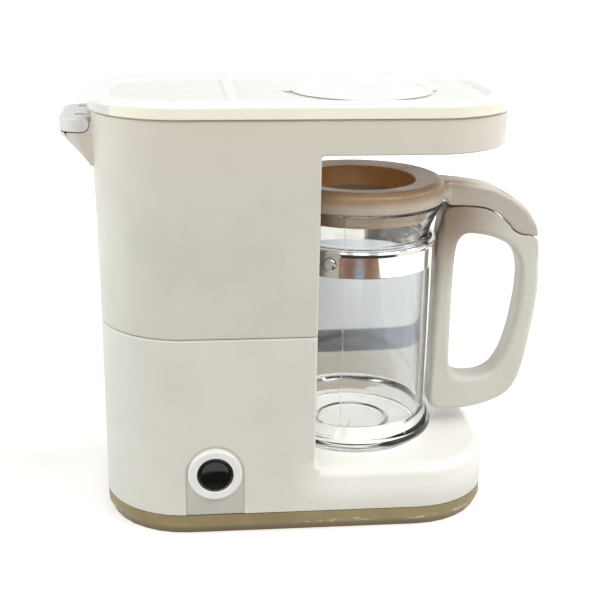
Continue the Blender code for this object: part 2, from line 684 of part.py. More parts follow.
def filler_plan(reach, inset=0.0):
    """A D-shaped plan on the left wall. Its corners flatten as it reaches out less."""
    root = WALL_X + FILLER_ROOT
    half = FILLER_WIDTH / 2 - inset
    long = FILLER_RADIUS * reach / FILLER_REACH
    tip = WALL_X - reach
    turns = [math.pi / 2 * i / CORNER_STEPS for i in range(CORNER_STEPS + 1)]
    back = [(tip + long * (1 - math.sin(t)), half - FILLER_RADIUS * (1 - math.cos(t))) for t in turns]
    return [(root, half)] + back + [(x, -y) for x, y in reversed(back)] + [(root, -half)]


def make_filler_form():
    """The funnel's outside: a short face, then a slope that runs back to the wall."""
    reach = FILLER_REACH - GAP
    stub = FILLER_ROOT / 2
    return loft("filler_form", CREAM, (
        (filler_plan(stub), FILLER_FLOOR_Z + stub),
        (filler_plan(reach), FILLER_Z - FILLER_FACE_HEIGHT),
        (filler_plan(reach), FILLER_Z),
    ))


def make_filler_room():
    """The funnel's inside, with its window through the wall into the column."""
    reach = FILLER_REACH - GAP - FILLER_WALL
    half = FILLER_WIDTH / 2 - FILLER_WALL
    tip = WALL_X - reach
    slope_shift = FILLER_WALL * math.sqrt(2)
    step_z = FILLER_Z - FILLER_FACE_HEIGHT - FILLER_WALL + slope_shift
    inner_x = WALL_X + WALL + WAIST_INSET + OVERCUT
    window_top = FILLER_Z - FILLER_WINDOW_DROP
    lintel_x = WALL_X - FILLER_WINDOW_DROP / 4
    outline = (
        (tip, FILLER_Z + OVERCUT), (tip, step_z), (inner_x, step_z - (inner_x - tip)),
        (inner_x, window_top), (lintel_x, window_top), (lintel_x, FILLER_Z + OVERCUT),
    )
    return loft("filler_room", CREAM, ((outline, -half), (outline, half)), upright=False)


def make_ear(side):
    """One of the two ears that stand out of the wall and carry the hinge pin."""
    name = "ear_front" if side < 0 else "ear_back"
    root = WALL_X + FILLER_ROOT
    outline = [(root, HINGE_Z - EAR_RADIUS), (root, HINGE_Z + EAR_RADIUS)]
    outline += arc(HINGE_X, HINGE_Z, EAR_RADIUS, 90, 270, CORNER_STEPS)
    front = side * EAR_SPACING / 2 - EAR_WIDTH / 2
    ear = loft(name, CREAM, ((outline, front), (outline, front + EAR_WIDTH)), upright=False)
    bore = rod(f"{name}_bore", CREAM, PIN_RADIUS + GAP, -FILLER_WIDTH, FILLER_WIDTH, (HINGE_X, 0, HINGE_Z),
               FACING_FRONT)
    cut(ear, bore)
    return ear


def make_filler_lid():
    """The filler's lid with its barrel, and the pin that it turns on."""
    edge = FILLER_LID_EDGE * MID_EDGE_SHARE
    profile = (
        (edge, FILLER_LID_Z), (0, FILLER_LID_Z + edge), (0, FILLER_LID_TOP_Z - FILLER_LID_EDGE),
        (edge, FILLER_LID_TOP_Z - edge), (FILLER_LID_EDGE, FILLER_LID_TOP_Z),
    )
    rings = []
    for inset, height in profile:
        plan = filler_plan(FILLER_REACH - inset, inset)
        rings.append(([(min(x, HINGE_X), y) for x, y in plan], height))
    lid = loft("filler_lid", IVORY, rings)
    half = FILLER_WIDTH / 2 - FILLER_LID_EDGE
    where = (HINGE_X, 0, HINGE_Z)
    join(lid, rod("lid_barrel", IVORY, BARREL_RADIUS, -half, half, where, FACING_FRONT, SMALL_STEPS))
    reach = EAR_RADIUS + RUNNING_GAP
    for side in (-1, 1):
        middle = side * EAR_SPACING / 2
        notch = EAR_WIDTH / 2 + RUNNING_GAP
        name = "ear_notch_front" if side < 0 else "ear_notch_back"
        cut(lid, box(name, IVORY, (HINGE_X - reach, middle - notch, FILLER_LID_Z - OVERCUT),
                     (WALL_X, middle + notch, FILLER_LID_TOP_Z + OVERCUT)))
    cut(lid, rod("lid_bore", IVORY, PIN_RADIUS + GAP, -FILLER_WIDTH, FILLER_WIDTH, where, FACING_FRONT))
    hang(lid, "filler_hinge", where)
    pin_half = FILLER_WIDTH / 2 - PIN_INSET
    rod("filler_pin", STEEL, PIN_RADIUS, -pin_half, pin_half, where, FACING_FRONT, SMALL_STEPS)


def pocket(name, left, right, left_radius, right_radius):
    """A shallow tapered recess in the cover's top."""
    half = HOUSING_DEPTH / 2 - POCKET_SIDE_MARGIN
    rings = []
    for height in (POCKET_Z, TOP_Z + OVERCUT):
        inset = POCKET_DRAFT * (TOP_Z - height) / POCKET_DEPTH
        plan = rounded_plan(left + inset, right - inset, half - inset, left_radius, right_radius)
        rings.append((plan, height))
    return loft(name, IVORY, rings)


def make_top_cover():
    """A shallow lid over the whole housing, with two recessed fields and a round hole for the filter."""
    edge = COVER_EDGE * MID_EDGE_SHARE
    cover = loft("top_cover", IVORY, (
        (footprint(edge - COVER_PROUD), COVER_Z), (footprint(-COVER_PROUD), COVER_Z + edge),
        (footprint(-COVER_PROUD), TOP_Z - COVER_EDGE), (footprint(edge - COVER_PROUD), TOP_Z - edge),
        (footprint(COVER_EDGE - COVER_PROUD), TOP_Z),
    ))
    lip_inset = WAIST_INSET + TONGUE_INSET
    join(cover, loft("cover_lip", IVORY, (
        (footprint(lip_inset), COVER_Z - COVER_LIP_HEIGHT),
        (footprint(lip_inset), COVER_Z + COVER_EDGE),
    )))
    room_inset = lip_inset + TONGUE_WALL
    cut(cover, loft("cover_room", IVORY, (
        (footprint(room_inset), COVER_Z - COVER_LIP_HEIGHT - OVERCUT),
        (footprint(room_inset), COVER_UNDERSIDE_Z),
    )))
    end = HOUSING_WIDTH / 2 - POCKET_END_MARGIN
    cut(cover, pocket("left_pocket", -end, RIB_X - RIB_WIDTH / 2, POCKET_RADIUS, POCKET_INNER_RADIUS),
        pocket("right_pocket", RIB_X + RIB_WIDTH / 2, end, POCKET_INNER_RADIUS, POCKET_RADIUS))
    cut(cover, rod("cap_hole", IVORY, CAP_HOLE_RADIUS, COVER_Z - OVERCUT, TOP_Z + OVERCUT, (CARAFE_X, 0, 0),
                   steps=CARAFE_STEPS))
    return cover


def make_filter_cap():
    """The round cap over the filter: a dished disc with a raised rim, two lugs and a short mark."""
    low = POCKET_Z + GAP
    high = low + CAP_FLANGE
    skirt = CAP_HOLE_RADIUS - GAP
    dished = CAP_RADIUS - CAP_RIM_WIDTH
    cap = turned("filter_cap", IVORY, (
        (0, low), (skirt - CAP_SKIRT_WALL, low), (skirt - CAP_SKIRT_WALL, low - CAP_SKIRT_DEPTH),
        (skirt, low - CAP_SKIRT_DEPTH), (skirt, low), (CAP_RADIUS, low), (CAP_RADIUS, high - CAP_DISH),
        (CAP_RADIUS - CAP_DISH, high), (dished, high), (dished - CAP_DISH, high - CAP_DISH),
        (0, high - CAP_DISH),
    ), (CARAFE_X, 0, 0), steps=CARAFE_STEPS)
    lug_top = high - CAP_DISH / 2
    for side in (-1, 1):
        root = CARAFE_X + side * (CAP_RADIUS - 2 * CAP_DISH)
        tip = CARAFE_X + side * (CAP_RADIUS + CAP_LUG_LENGTH)
        name = "cap_lug_left" if side < 0 else "cap_lug_right"
        join(cap, box(name, IVORY, (min(root, tip), -CAP_LUG_WIDTH / 2, low),
                      (max(root, tip), CAP_LUG_WIDTH / 2, lug_top)))
    left = CARAFE_X - CAP_MARK_WIDTH / 2
    mark_y = dished - CAP_DISH - CAP_MARK_WIDTH
    join(cap, box("cap_mark", IVORY, (left, mark_y - CAP_MARK_LENGTH, low + CAP_DISH / 2),
                  (left + CAP_MARK_WIDTH, mark_y, lug_top)))
    hang(cap, "filter_cap_axis", (CARAFE_X, 0, low))


def make_base_plate():
    """The olive tray under the housing, with its locating lip, battery well, motor cup and screw pads."""
    lip = footprint(WAIST_INSET + TONGUE_INSET)
    base = loft("base_plate", OLIVE, (
        (footprint(WAIST_INSET + BASE_BEVEL), 0), (footprint(WAIST_INSET), BASE_BEVEL_HEIGHT),
        (footprint(WAIST_INSET), BASE_HEIGHT), (lip, BASE_HEIGHT), (lip, LIP_Z),
    ))
    room = footprint(WAIST_INSET + INNER_INSET)
    cut(base, loft("tray_room", OLIVE, ((room, BASE_FLOOR), (room, LIP_Z + OVERCUT))))

    half_length = WELL_LENGTH / 2
    half_width = WELL_WIDTH / 2
    root = BASE_FLOOR / 2
    join(base, box("well_form", OLIVE, (WELL_X - half_length - WELL_WALL, -half_width - WELL_WALL, root),
                   (WELL_X + half_length + WELL_WALL, half_width + WELL_WALL, WELL_TOP_Z + WELL_WALL)))
    join(base, rod("door_boss", OLIVE, DOOR_BOSS_RADIUS, root, BASE_FLOOR + DOOR_BOSS_HEIGHT,
                   (WELL_X, DOOR_SCREW_Y, 0)))
    cup = MOTOR_RADIUS + GAP
    join(base, turned("motor_cup", OLIVE, (
        (cup, root), (cup + MOTOR_CUP_WALL, root), (cup + MOTOR_CUP_WALL, BASE_FLOOR + MOTOR_CUP_HEIGHT),
        (cup, BASE_FLOOR + MOTOR_CUP_HEIGHT),
    ), (PUMP_X, PUMP_Y, 0)))
    for number, place in enumerate(SCREW_PLACES, 1):
        join(base, rod(f"screw_pad_{number}", OLIVE, SCREW_PAD_RADIUS, root, LIP_Z, (*place, 0)))

    cut(base, box("battery_room", OLIVE, (WELL_X - half_length, -half_width, -OVERCUT),
                  (WELL_X + half_length, half_width, WELL_TOP_Z)))
    recess = door_plan(DOOR_LEDGE)
    cut(base, loft("door_recess", OLIVE, ((recess, -OVERCUT), (recess, DOOR_THICKNESS + GAP))))
    hole = SCREW_SHANK_RADIUS + GAP
    cut(base, rod("door_screw_hole", OLIVE, hole, 0, DOOR_SCREW_LENGTH + GAP, (WELL_X, DOOR_SCREW_Y, 0)))
    seat = SCREW_RECESS + SCREW_HEAD_HEIGHT + GAP
    wide = SCREW_HEAD_RADIUS + GAP
    for number, place in enumerate(SCREW_PLACES, 1):
        cut(base, turned(f"screw_recess_{number}", OLIVE, (
            (0, -OVERCUT), (wide, -OVERCUT), (wide, seat), (hole, seat), (hole, LIP_Z + OVERCUT),
            (0, LIP_Z + OVERCUT),
        ), (*place, 0), steps=SMALL_STEPS))
    return base


def door_plan(ledge):
    """The battery door's outline: a rectangle with a screw tab at the back."""
    left = WELL_X - WELL_LENGTH / 2 - ledge
    right = WELL_X + WELL_LENGTH / 2 + ledge
    half = WELL_WIDTH / 2 + ledge
    tab = DOOR_TAB_WIDTH / 2 - DOOR_LEDGE + ledge
    tab_end = half + DOOR_TAB_LENGTH
    return [
        (left, -half), (right, -half), (right, half), (WELL_X + tab, half), (WELL_X + tab, tab_end),
        (WELL_X - tab, tab_end), (WELL_X - tab, half), (left, half),
    ]


def make_battery_door():
    plan = door_plan(DOOR_LEDGE - GAP)
    door = loft("battery_door", OLIVE, ((plan, 0), (plan, DOOR_THICKNESS)))
    hole = SCREW_SHANK_RADIUS + GAP
    wide = DOOR_SCREW_HEAD_RADIUS + GAP
    seat = DOOR_SCREW_HEAD_HEIGHT + GAP
    where = (WELL_X, DOOR_SCREW_Y, 0)
    cut(door, turned("door_screw_recess", OLIVE, (
        (0, -OVERCUT), (wide, -OVERCUT), (wide, seat), (hole, seat), (hole, OVERCUT + DOOR_THICKNESS),
        (0, OVERCUT + DOOR_THICKNESS),
    ), where, steps=SMALL_STEPS))
    screw("battery_door_screw", DOOR_SCREW_HEAD_RADIUS, DOOR_SCREW_HEAD_HEIGHT, DOOR_SCREW_LENGTH, where)


def screw(name, head_radius, head_height, length, location, rotation=(0, 0, 0)):
    """A screw whose head starts at its origin and whose shank runs along its +Z axis."""
    profile = ((0, 0), (head_radius, 0), (head_radius, head_height), (SCREW_SHANK_RADIUS, head_height),
               (SCREW_SHANK_RADIUS, length), (0, length))
    return turned(name, STEEL, profile, location, rotation, SMALL_STEPS)


def make_base_screws():
    for number, place in enumerate(SCREW_PLACES, 1):
        screw(f"base_screw_{number}", SCREW_HEAD_RADIUS, SCREW_HEAD_HEIGHT, SCREW_LENGTH,
              (*place, SCREW_RECESS))


def make_batteries():
    """Two cells side by side, the second turned end for end, and a contact plate across each end."""
    radius = BATTERY_DIAMETER / 2
    left = WELL_X - WELL_LENGTH / 2 + CONTACT_THICKNESS + 2 * GAP
    body = BATTERY_LENGTH - BATTERY_NUB_LENGTH
    cell = (
        (0, 0), (radius - BATTERY_EDGE, 0), (radius, BATTERY_EDGE), (radius, body - BATTERY_EDGE),
        (radius - BATTERY_EDGE, body), (BATTERY_NUB_RADIUS, body), (BATTERY_NUB_RADIUS, BATTERY_LENGTH),
        (0, BATTERY_LENGTH),
    )
    lane = radius + GAP / 2
    for name, x, y, facing in (
        ("battery_1", left + CONTACT_SPRING_LENGTH, -lane, FACING_RIGHT),
        ("battery_2", left + BATTERY_LENGTH, lane, FACING_LEFT),
    ):
        turned(name, CELL, cell, (x, y, BATTERY_Z), facing, SMALL_STEPS)

    tip = CONTACT_SPRING_RADIUS * CONTACT_SPRING_TIP_SHARE
    coil = ((0, -CONTACT_THICKNESS / 2), (CONTACT_SPRING_RADIUS, -CONTACT_THICKNESS / 2),
            (tip, CONTACT_SPRING_LENGTH - GAP), (0, CONTACT_SPRING_LENGTH - GAP))
    for name, side in (("contact_left", -1), ("contact_right", 1)):
        outer = WELL_X + side * (WELL_LENGTH / 2 - GAP)
        inner = outer - side * CONTACT_THICKNESS
        plate = box(name, STEEL, (min(outer, inner), GAP - WELL_WIDTH / 2, BATTERY_Z - CONTACT_HEIGHT / 2),
                    (max(outer, inner), WELL_WIDTH / 2 - GAP, BATTERY_Z + CONTACT_HEIGHT / 2))
        facing = FACING_RIGHT if side < 0 else FACING_LEFT
        join(plate, turned(f"{name}_spring", STEEL, coil, (inner, side * lane, BATTERY_Z), facing,
                           SMALL_STEPS))


def make_pump():
    """A motor can in its cup, the pump head on it and a short hose up to the tank."""
    where = (PUMP_X, PUMP_Y, 0)
    high = MOTOR_Z + MOTOR_HEIGHT
    turned("pump_motor", STEEL, (
        (0, MOTOR_Z), (MOTOR_RADIUS - MOTOR_EDGE, MOTOR_Z), (MOTOR_RADIUS, MOTOR_Z + MOTOR_EDGE),
        (MOTOR_RADIUS, high - MOTOR_EDGE), (MOTOR_RADIUS - MOTOR_EDGE, high), (0, high),
    ), where)
    inlet_top = PUMP_TOP_Z + SPIGOT_LENGTH
    head = turned("pump_head", WHITE, (
        (0, PUMP_HEAD_Z), (PUMP_HEAD_RADIUS, PUMP_HEAD_Z), (PUMP_HEAD_RADIUS, PUMP_TOP_Z - MOTOR_EDGE),
        (PUMP_HEAD_RADIUS - MOTOR_EDGE, PUMP_TOP_Z), (SPIGOT_RADIUS, PUMP_TOP_Z),
        (SPIGOT_RADIUS, inlet_top), (0, inlet_top),
    ), where)
    outlet_z = PUMP_HEAD_Z + PUMP_HEAD_HEIGHT / 2
    join(head, rod("pump_outlet", WHITE, SPIGOT_RADIUS, 0, PUMP_HEAD_RADIUS + SPIGOT_LENGTH,
                   (PUMP_X, PUMP_Y, outlet_z), FACING_BACK))
    bore = SPIGOT_RADIUS + GAP
    low = PUMP_TOP_Z + GAP
    top = TANK_Z - GAP
    outer = bore + HOSE_WALL
    turned("inlet_hose", HOSE, ((bore, low), (outer, low), (outer, top), (bore, top)), where,
           steps=SMALL_STEPS)
    return outlet_z


def make_tank():
    """The open water tank in the upper column, with its outlet spigot down into the hose."""
    inset = WAIST_INSET + WALL + TANK_CLEARANCE
    left = WALL_X + inset
    right = CARAFE_X - SCOOP_RADIUS - WALL - TANK_SIDE_GAP
    half = HOUSING_DEPTH / 2 - inset
    radius = PLAN_RADIUS - inset
    outer = rounded_plan(left, right, half, radius, TANK_INNER_CORNER)
    inner = rounded_plan(left + TANK_WALL, right - TANK_WALL, half - TANK_WALL, radius - TANK_WALL,
                         TANK_INNER_CORNER - TANK_WALL)
    tank = loft("water_tank", CLEAR, ((outer, TANK_Z), (outer, TANK_RIM_Z)))
    cut(tank, loft("tank_room", CLEAR, ((inner, TANK_Z + TANK_WALL), (inner, TANK_RIM_Z + OVERCUT))))
    where = (PUMP_X, PUMP_Y, 0)
    low = TANK_Z - SPIGOT_LENGTH
    join(tank, rod("tank_spigot", CLEAR, SPIGOT_RADIUS, low, TANK_Z + TANK_WALL / 2, where))
    cut(tank, rod("tank_bore", CLEAR, SPIGOT_RADIUS / 2, low - OVERCUT, TANK_Z + TANK_WALL + OVERCUT,
                  where))


def between(a, b, c, d, t):
    """The point a share t of the way from b to c on a Catmull-Rom curve through all four."""
    bend = 2 * a - 5 * b + 4 * c - d
    return (2 * b + (c - a) * t + bend * t ** 2 + (3 * b - a - 3 * c + d) * t ** 3) / 2


def smooth_path(points, spacing):
    """An open curve through the given points, in steps of about the spacing."""
    spots = [Vector(p) for p in points]
    spots = [2 * spots[0] - spots[1]] + spots + [2 * spots[-1] - spots[-2]]
    path = [spots[1]]
    for a, b, c, d in zip(spots, spots[1:], spots[2:], spots[3:]):
        steps = max(2, round((c - b).length / spacing))
        path += [between(a, b, c, d, (i + 1) / steps) for i in range(steps)]
    return path


def make_water_tube(outlet_z):
    """The tube from the pump, up the column beside the tank and over into the filter basket."""
    start_y = PUMP_Y + PUMP_HEAD_RADIUS + SPIGOT_LENGTH + GAP
    riser_x = COLUMN_EDGE_X - RISER_FROM_EDGE
    riser_y = HOUSING_DEPTH / 2 - RISER_FROM_BACK
    top_z = COVER_Z - TUBE_BELOW_COVER + TUBE_RADIUS
    over_x, over_y = TUBE_OVER_SHARES
    route = (
        (PUMP_X, start_y, outlet_z),
        (PUMP_X, start_y + TUBE_RADIUS, outlet_z),
        (PUMP_X + TUBE_BEND / 4, riser_y - TUBE_BEND / 6, outlet_z),
        (PUMP_X + TUBE_BEND, riser_y, outlet_z),
        (riser_x - TUBE_BEND / 2, riser_y, outlet_z + TUBE_BEND / 4),
        (riser_x, riser_y, outlet_z + TUBE_BEND * TUBE_RISE_SHARE),
        (riser_x, riser_y, (outlet_z + top_z) / 2),
        (riser_x, riser_y, top_z - TUBE_BEND * TUBE_TURN_SHARE),
        (riser_x + TUBE_BEND / 4, riser_y - TUBE_BEND / 6, top_z - TUBE_BEND / 3),
        (riser_x + TUBE_BEND * over_x, riser_y - TUBE_BEND * over_y, top_z - TUBE_RADIUS / 3),
        (CARAFE_X - BASKET_RADIUS / 3, BASKET_RADIUS / 3, top_z - TUBE_RADIUS / 3),
    )
    curve = bpy.data.curves.new("water_tube", "CURVE")
    curve.dimensions = "3D"
    curve.bevel_depth = TUBE_RADIUS
    curve.bevel_resolution = 2
    curve.use_fill_caps = True
    curve.materials.append(HOSE)
    path = smooth_path(route, TUBE_POINT_SPACING)
    spline = curve.splines.new("POLY")
    spline.points.add(len(path) - 1)
    for point, spot in zip(spline.points, path):
        point.co = (*spot, 1.0)
    bpy.context.scene.collection.objects.link(bpy.data.objects.new("water_tube", curve))


def make_filter_basket():
    """The shallow basket on the overhang's floor, with the spout that drips into the carafe."""
    inner = BASKET_RADIUS - BASKET_WALL
    floor = BASKET_Z + BASKET_WALL
    rim = BASKET_Z + BASKET_HEIGHT
    drip = OVERHANG_Z - SPOUT_DROP
    turned("filter_basket", WHITE, (
        (SPOUT_BORE, drip), (SPOUT_RADIUS, drip), (SPOUT_RADIUS, BASKET_Z), (inner, BASKET_Z),
        (BASKET_RADIUS, floor), (BASKET_RADIUS, rim), (inner, rim), (inner, floor), (SPOUT_BORE, floor),
    ), (CARAFE_X, 0, 0))


def make_carafe():
    """The clear jug: heavy foot, straight body, narrow neck and a flared rim, open at the top."""
    shoulder = FOOT_SHOULDER_HEIGHT
    body_top = BAND_Z + BAND_HEIGHT - GLASS_Z
    neck = NECK_Z - GLASS_Z
    rim = RIM_Z - GLASS_Z
    bead = GLASS_WALL / 2
    flare = [(NECK_RADIUS + (RIM_RADIUS - NECK_RADIUS) * out, neck + FLARE_HEIGHT * up)
             for out, up in FLARE_SHARES]
    outer = [
        (0, PUNT_RISE), (PUNT_RADIUS - PUNT_WIDTH, PUNT_RISE), (PUNT_RADIUS, 2 * PUNT_RISE),
        (PUNT_RADIUS + PUNT_WIDTH, PUNT_RISE), (FOOT_CONTACT_RADIUS - PUNT_WIDTH, PUNT_RISE),
        (FOOT_CONTACT_RADIUS - PUNT_WIDTH / 2, 0), (FOOT_CONTACT_RADIUS, 0),
        (FOOT_RADIUS - FOOT_BEVEL / 4, FOOT_BEVEL * FOOT_CURVE_SHARE), (FOOT_RADIUS, FOOT_BEVEL),
        (FOOT_RADIUS, FOOT_HEIGHT), (FOOT_RADIUS - FOOT_BEVEL / 4, FOOT_HEIGHT + FOOT_BEVEL / 4),
        (BODY_RADIUS + FOOT_BEVEL / 4, shoulder - FOOT_BEVEL / 2), (BODY_RADIUS, shoulder),
        (BODY_RADIUS, body_top), (NECK_RADIUS, neck), *flare,
        (RIM_RADIUS, rim - bead), (RIM_RADIUS - bead / 2, rim),
    ]
    inner = [
        (RIM_RADIUS - GLASS_WALL + bead / 2, rim), (RIM_RADIUS - GLASS_WALL, rim - bead),
        (flare[-1][0] - GLASS_WALL, flare[-1][1]),
        (NECK_RADIUS - GLASS_WALL, neck), (BODY_RADIUS - GLASS_WALL, body_top - NECK_LENGTH),
        (BODY_RADIUS - GLASS_WALL, shoulder),
        (BODY_RADIUS - GLASS_WALL - FOOT_BEVEL / 2, GLASS_FLOOR + FOOT_BEVEL / 2),
        (BODY_RADIUS - GLASS_WALL - FOOT_BEVEL, GLASS_FLOOR), (PUNT_RADIUS + PUNT_WIDTH, GLASS_FLOOR),
        (PUNT_RADIUS, GLASS_FLOOR + PUNT_RISE), (PUNT_RADIUS - PUNT_WIDTH, GLASS_FLOOR), (0, GLASS_FLOOR),
    ]
    where = (CARAFE_X, 0, GLASS_Z)
    glass = turned("carafe_glass", CLEAR, outer + inner, where, steps=CARAFE_STEPS)
    hang(glass, "carafe_axis", where)
    return where


def make_band(carafe_axis):
    """The chromed band below the neck, its tab in the handle and its rivet at the front."""
    inner = BODY_RADIUS + GAP
    outer = BAND_RADIUS
    high = BAND_Z + BAND_HEIGHT
    band = turned("carafe_band", CHROME, (
        (inner, BAND_Z), (outer - BAND_EDGE, BAND_Z), (outer, BAND_Z + BAND_EDGE),
        (outer, high - BAND_LIP - 2 * BAND_EDGE), (LIP_RADIUS, high - BAND_LIP),
        (LIP_RADIUS, high - BAND_EDGE), (outer, high), (inner, high),
    ), (CARAFE_X, 0, 0), steps=CARAFE_STEPS)
    middle = BAND_Z + BAND_HEIGHT / 2
    tab_root = CARAFE_X + inner + BAND_THICKNESS / 2
    tab_end = HANDLE_X + BAND_TAB_LENGTH
    join(band, box("band_tab", CHROME, (tab_root, -BAND_TAB_WIDTH / 2, middle - BAND_TAB_HEIGHT / 2),
                   (tab_end, BAND_TAB_WIDTH / 2, middle + BAND_TAB_HEIGHT / 2)))
    cut(band, rod("tab_bore", CHROME, SCREW_SHANK_RADIUS + GAP, HANDLE_STANDOFF,
                  BAND_TAB_LENGTH + OVERCUT, (HANDLE_X, 0, middle), FACING_RIGHT))
    hang(band, "carafe_axis", carafe_axis)

    face = outer + GAP
    where = (CARAFE_X + face * math.cos(RIVET_ANGLE), face * math.sin(RIVET_ANGLE), middle)
    crown = [(RIVET_RADIUS * out, RIVET_HEIGHT * up) for out, up in RIVET_SHARES]
    rivet = turned("band_rivet", CHROME, [(0, 0), (RIVET_RADIUS, 0), *crown, (0, RIVET_HEIGHT)], where,
                   (0, math.pi / 2, RIVET_ANGLE), SMALL_STEPS)
    hang(rivet, "carafe_axis", carafe_axis)
    return middle


def handle_point(share):
    return HANDLE_X + share[0] * HANDLE_REACH, HANDLE_Z + share[1] * HANDLE_HEIGHT


def grip_section(inner, outer, half_width, inner_rounding, outer_rounding):
    """A rounded rectangle across the handle, from its inner edge to its outer one, as 3-D points."""
    near = Vector((inner[0], 0, inner[1]))
    far = Vector((outer[0], 0, outer[1]))
    along = (far - near).normalized()
    across = Vector((0, 1, 0))
    corners = (
        (near, along, 1, inner_rounding), (far, -along, 1, outer_rounding),
        (far, -along, -1, outer_rounding), (near, along, -1, inner_rounding),
    )
    points = []
    for number, (edge, inward, side, rounding) in enumerate(corners):
        centre = edge + inward * rounding + across * side * (half_width - rounding)
        turns = [math.pi / 2 * i / GRIP_STEPS for i in range(GRIP_STEPS + 1)]
        if number % 2:
            turns.reverse()
        for turn in turns:
            offset = across * side * math.sin(turn) - inward * math.cos(turn)
            points.append(centre + rounding * offset)
    return points


def sweep(name, finish, sections, closed):
    """A solid through 3-D sections, either closed into a loop or capped at its two ends."""
    bm = bmesh.new()
    rows = [[bm.verts.new(p) for p in section] for section in sections]
    count = len(rows[0])
    pairs = list(zip(rows, rows[1:]))
    if closed:
        pairs.append((rows[-1], rows[0]))
    else:
        bm.faces.new(rows[0])
        bm.faces.new(rows[-1])
    for first, second in pairs:
        for i in range(count):
            j = (i + 1) % count
            bm.faces.new((first[i], first[j], second[j], second[i]))
    return finish_object(name, bm, finish)


def smooth_loop(shares, times):
    """A closed curve through a table of shares, with that many points for each of its own."""
    count = len(shares)
    finer = []
    for i in range(count):
        near = [Vector(shares[(i + k) % count]) for k in (-1, 0, 1, 2)]
        finer += [between(*near, step / times) for step in range(times)]
    return finer


def make_handle(carafe_axis, screw_z):
    """The D-shaped handle, hollowed for the band's tab and held to it by a screw."""
    outer = smooth_loop(HANDLE_OUTER_SHARES, HANDLE_CURVE_STEPS)
    hole = smooth_loop(HANDLE_HOLE_SHARES, HANDLE_CURVE_STEPS)
    first, last = HANDLE_SEAM_STEPS
    sections = []
    for number, (far, near) in enumerate(zip(outer, hole)):
        under_arm = first <= number / HANDLE_CURVE_STEPS <= last
        rounding = SEAM_ROUNDING if under_arm else GRIP_ROUNDING
        sections.append(grip_section(handle_point(near), handle_point(far), HANDLE_WIDTH / 2,
                                     GRIP_ROUNDING, rounding))
    handle = sweep("carafe_handle", CREAM, sections, closed=True)
    half_width = BAND_TAB_WIDTH / 2 + GAP
    half_height = BAND_TAB_HEIGHT / 2 + GAP
    cut(handle, box("tab_slot", CREAM, (HANDLE_X - OVERCUT, -half_width, screw_z - half_height),
                    (HANDLE_X + BAND_TAB_LENGTH + GAP, half_width, screw_z + half_height)))
    cut(handle, rod("handle_screw_hole", CREAM, SCREW_SHANK_RADIUS + GAP, 0, HANDLE_REACH / 3,
                    (HANDLE_X, 0, screw_z), FACING_RIGHT))
    hang(handle, "carafe_axis", carafe_axis)

    face = min(handle_point(near)[0] for near in hole)
    seat = face - SCREW_HEAD_HEIGHT - GAP
    cut(handle, rod("screw_head_room", CREAM, SCREW_HEAD_RADIUS + GAP, seat - GAP, face + HANDLE_REACH / 4,
                    (0, 0, screw_z), FACING_RIGHT))
    head = seat + SCREW_HEAD_HEIGHT
    length = head - HANDLE_X - HANDLE_STANDOFF - GAP
    handle_screw = screw("handle_screw", SCREW_HEAD_RADIUS, SCREW_HEAD_HEIGHT, length,
                         (head, 0, screw_z), FACING_LEFT)
    hang(handle_screw, "carafe_axis", carafe_axis)


def make_lid():
    """The carafe's lid: a ring with a wide hole, a skirt inside the rim and an arm along the handle."""
    low = RIM_Z + GAP
    high = low + LID_HEIGHT
    widest_share = FLARE_SHARES[-1][0]
    skirt = NECK_RADIUS - GLASS_WALL + (RIM_RADIUS - NECK_RADIUS) * widest_share - GAP
    skirt_inner = skirt - LID_SKIRT_WALL
    skirt_foot = low - LID_SKIRT_DEPTH
    lip = LID_ROUNDING / 6
    inner_edge = LID_ROUNDING / 4
    shoulder = [(RIM_RADIUS - LID_ROUNDING * inward, high - LID_ROUNDING * down)
                for inward, down in LID_SHOULDER_SHARES]
    lid = turned("carafe_lid", CREAM, (
        (LID_HOLE_RADIUS, low), (skirt_inner, low), (skirt_inner, skirt_foot), (skirt, skirt_foot),
        (skirt, low), (RIM_RADIUS - lip, low), (RIM_RADIUS, low + lip), (RIM_RADIUS, high - LID_ROUNDING),
        *shoulder, (RIM_RADIUS - LID_ROUNDING, high), (LID_HOLE_RADIUS + inner_edge, high),
        (LID_HOLE_RADIUS, high - inner_edge),
    ), (CARAFE_X, 0, 0), steps=CARAFE_STEPS)
    sections = []
    for lower, upper, width in zip(ARM_LOWER_SHARES, ARM_UPPER_SHARES, ARM_WIDTH_SHARES):
        near = handle_point(lower)
        far = handle_point(upper)
        largest = math.dist(near, far) / 3
        sections.append(grip_section(near, far, width * HANDLE_WIDTH / 2, min(SEAM_ROUNDING, largest),
                                     min(ARM_ROUNDING, largest)))
    join(lid, sweep("lid_arm", CREAM, sections, closed=False))
    hang(lid, "carafe_lid_axis", (CARAFE_X, 0, low))


def main():
    make_base_plate()
    make_battery_door()
    make_base_screws()
    make_batteries()
    make_lower_housing()
    make_switch()
    make_upper_housing()
    make_filler_lid()
    make_top_cover()
    make_filter_cap()
    make_filter_basket()
    outlet_z = make_pump()
    make_tank()
    make_water_tube(outlet_z)
    carafe_axis = make_carafe()
    screw_z = make_band(carafe_axis)
    make_handle(carafe_axis, screw_z)
    make_lid()


main()
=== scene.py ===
"""Looks for the toy coffee maker: finer mouldings, materials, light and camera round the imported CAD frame.

Metres, +Z up. Every piece is built in place, in the frame's own axes, and rides on its CAD body.
"""

import math

import bmesh
import bpy
from mathutils import Matrix, Vector


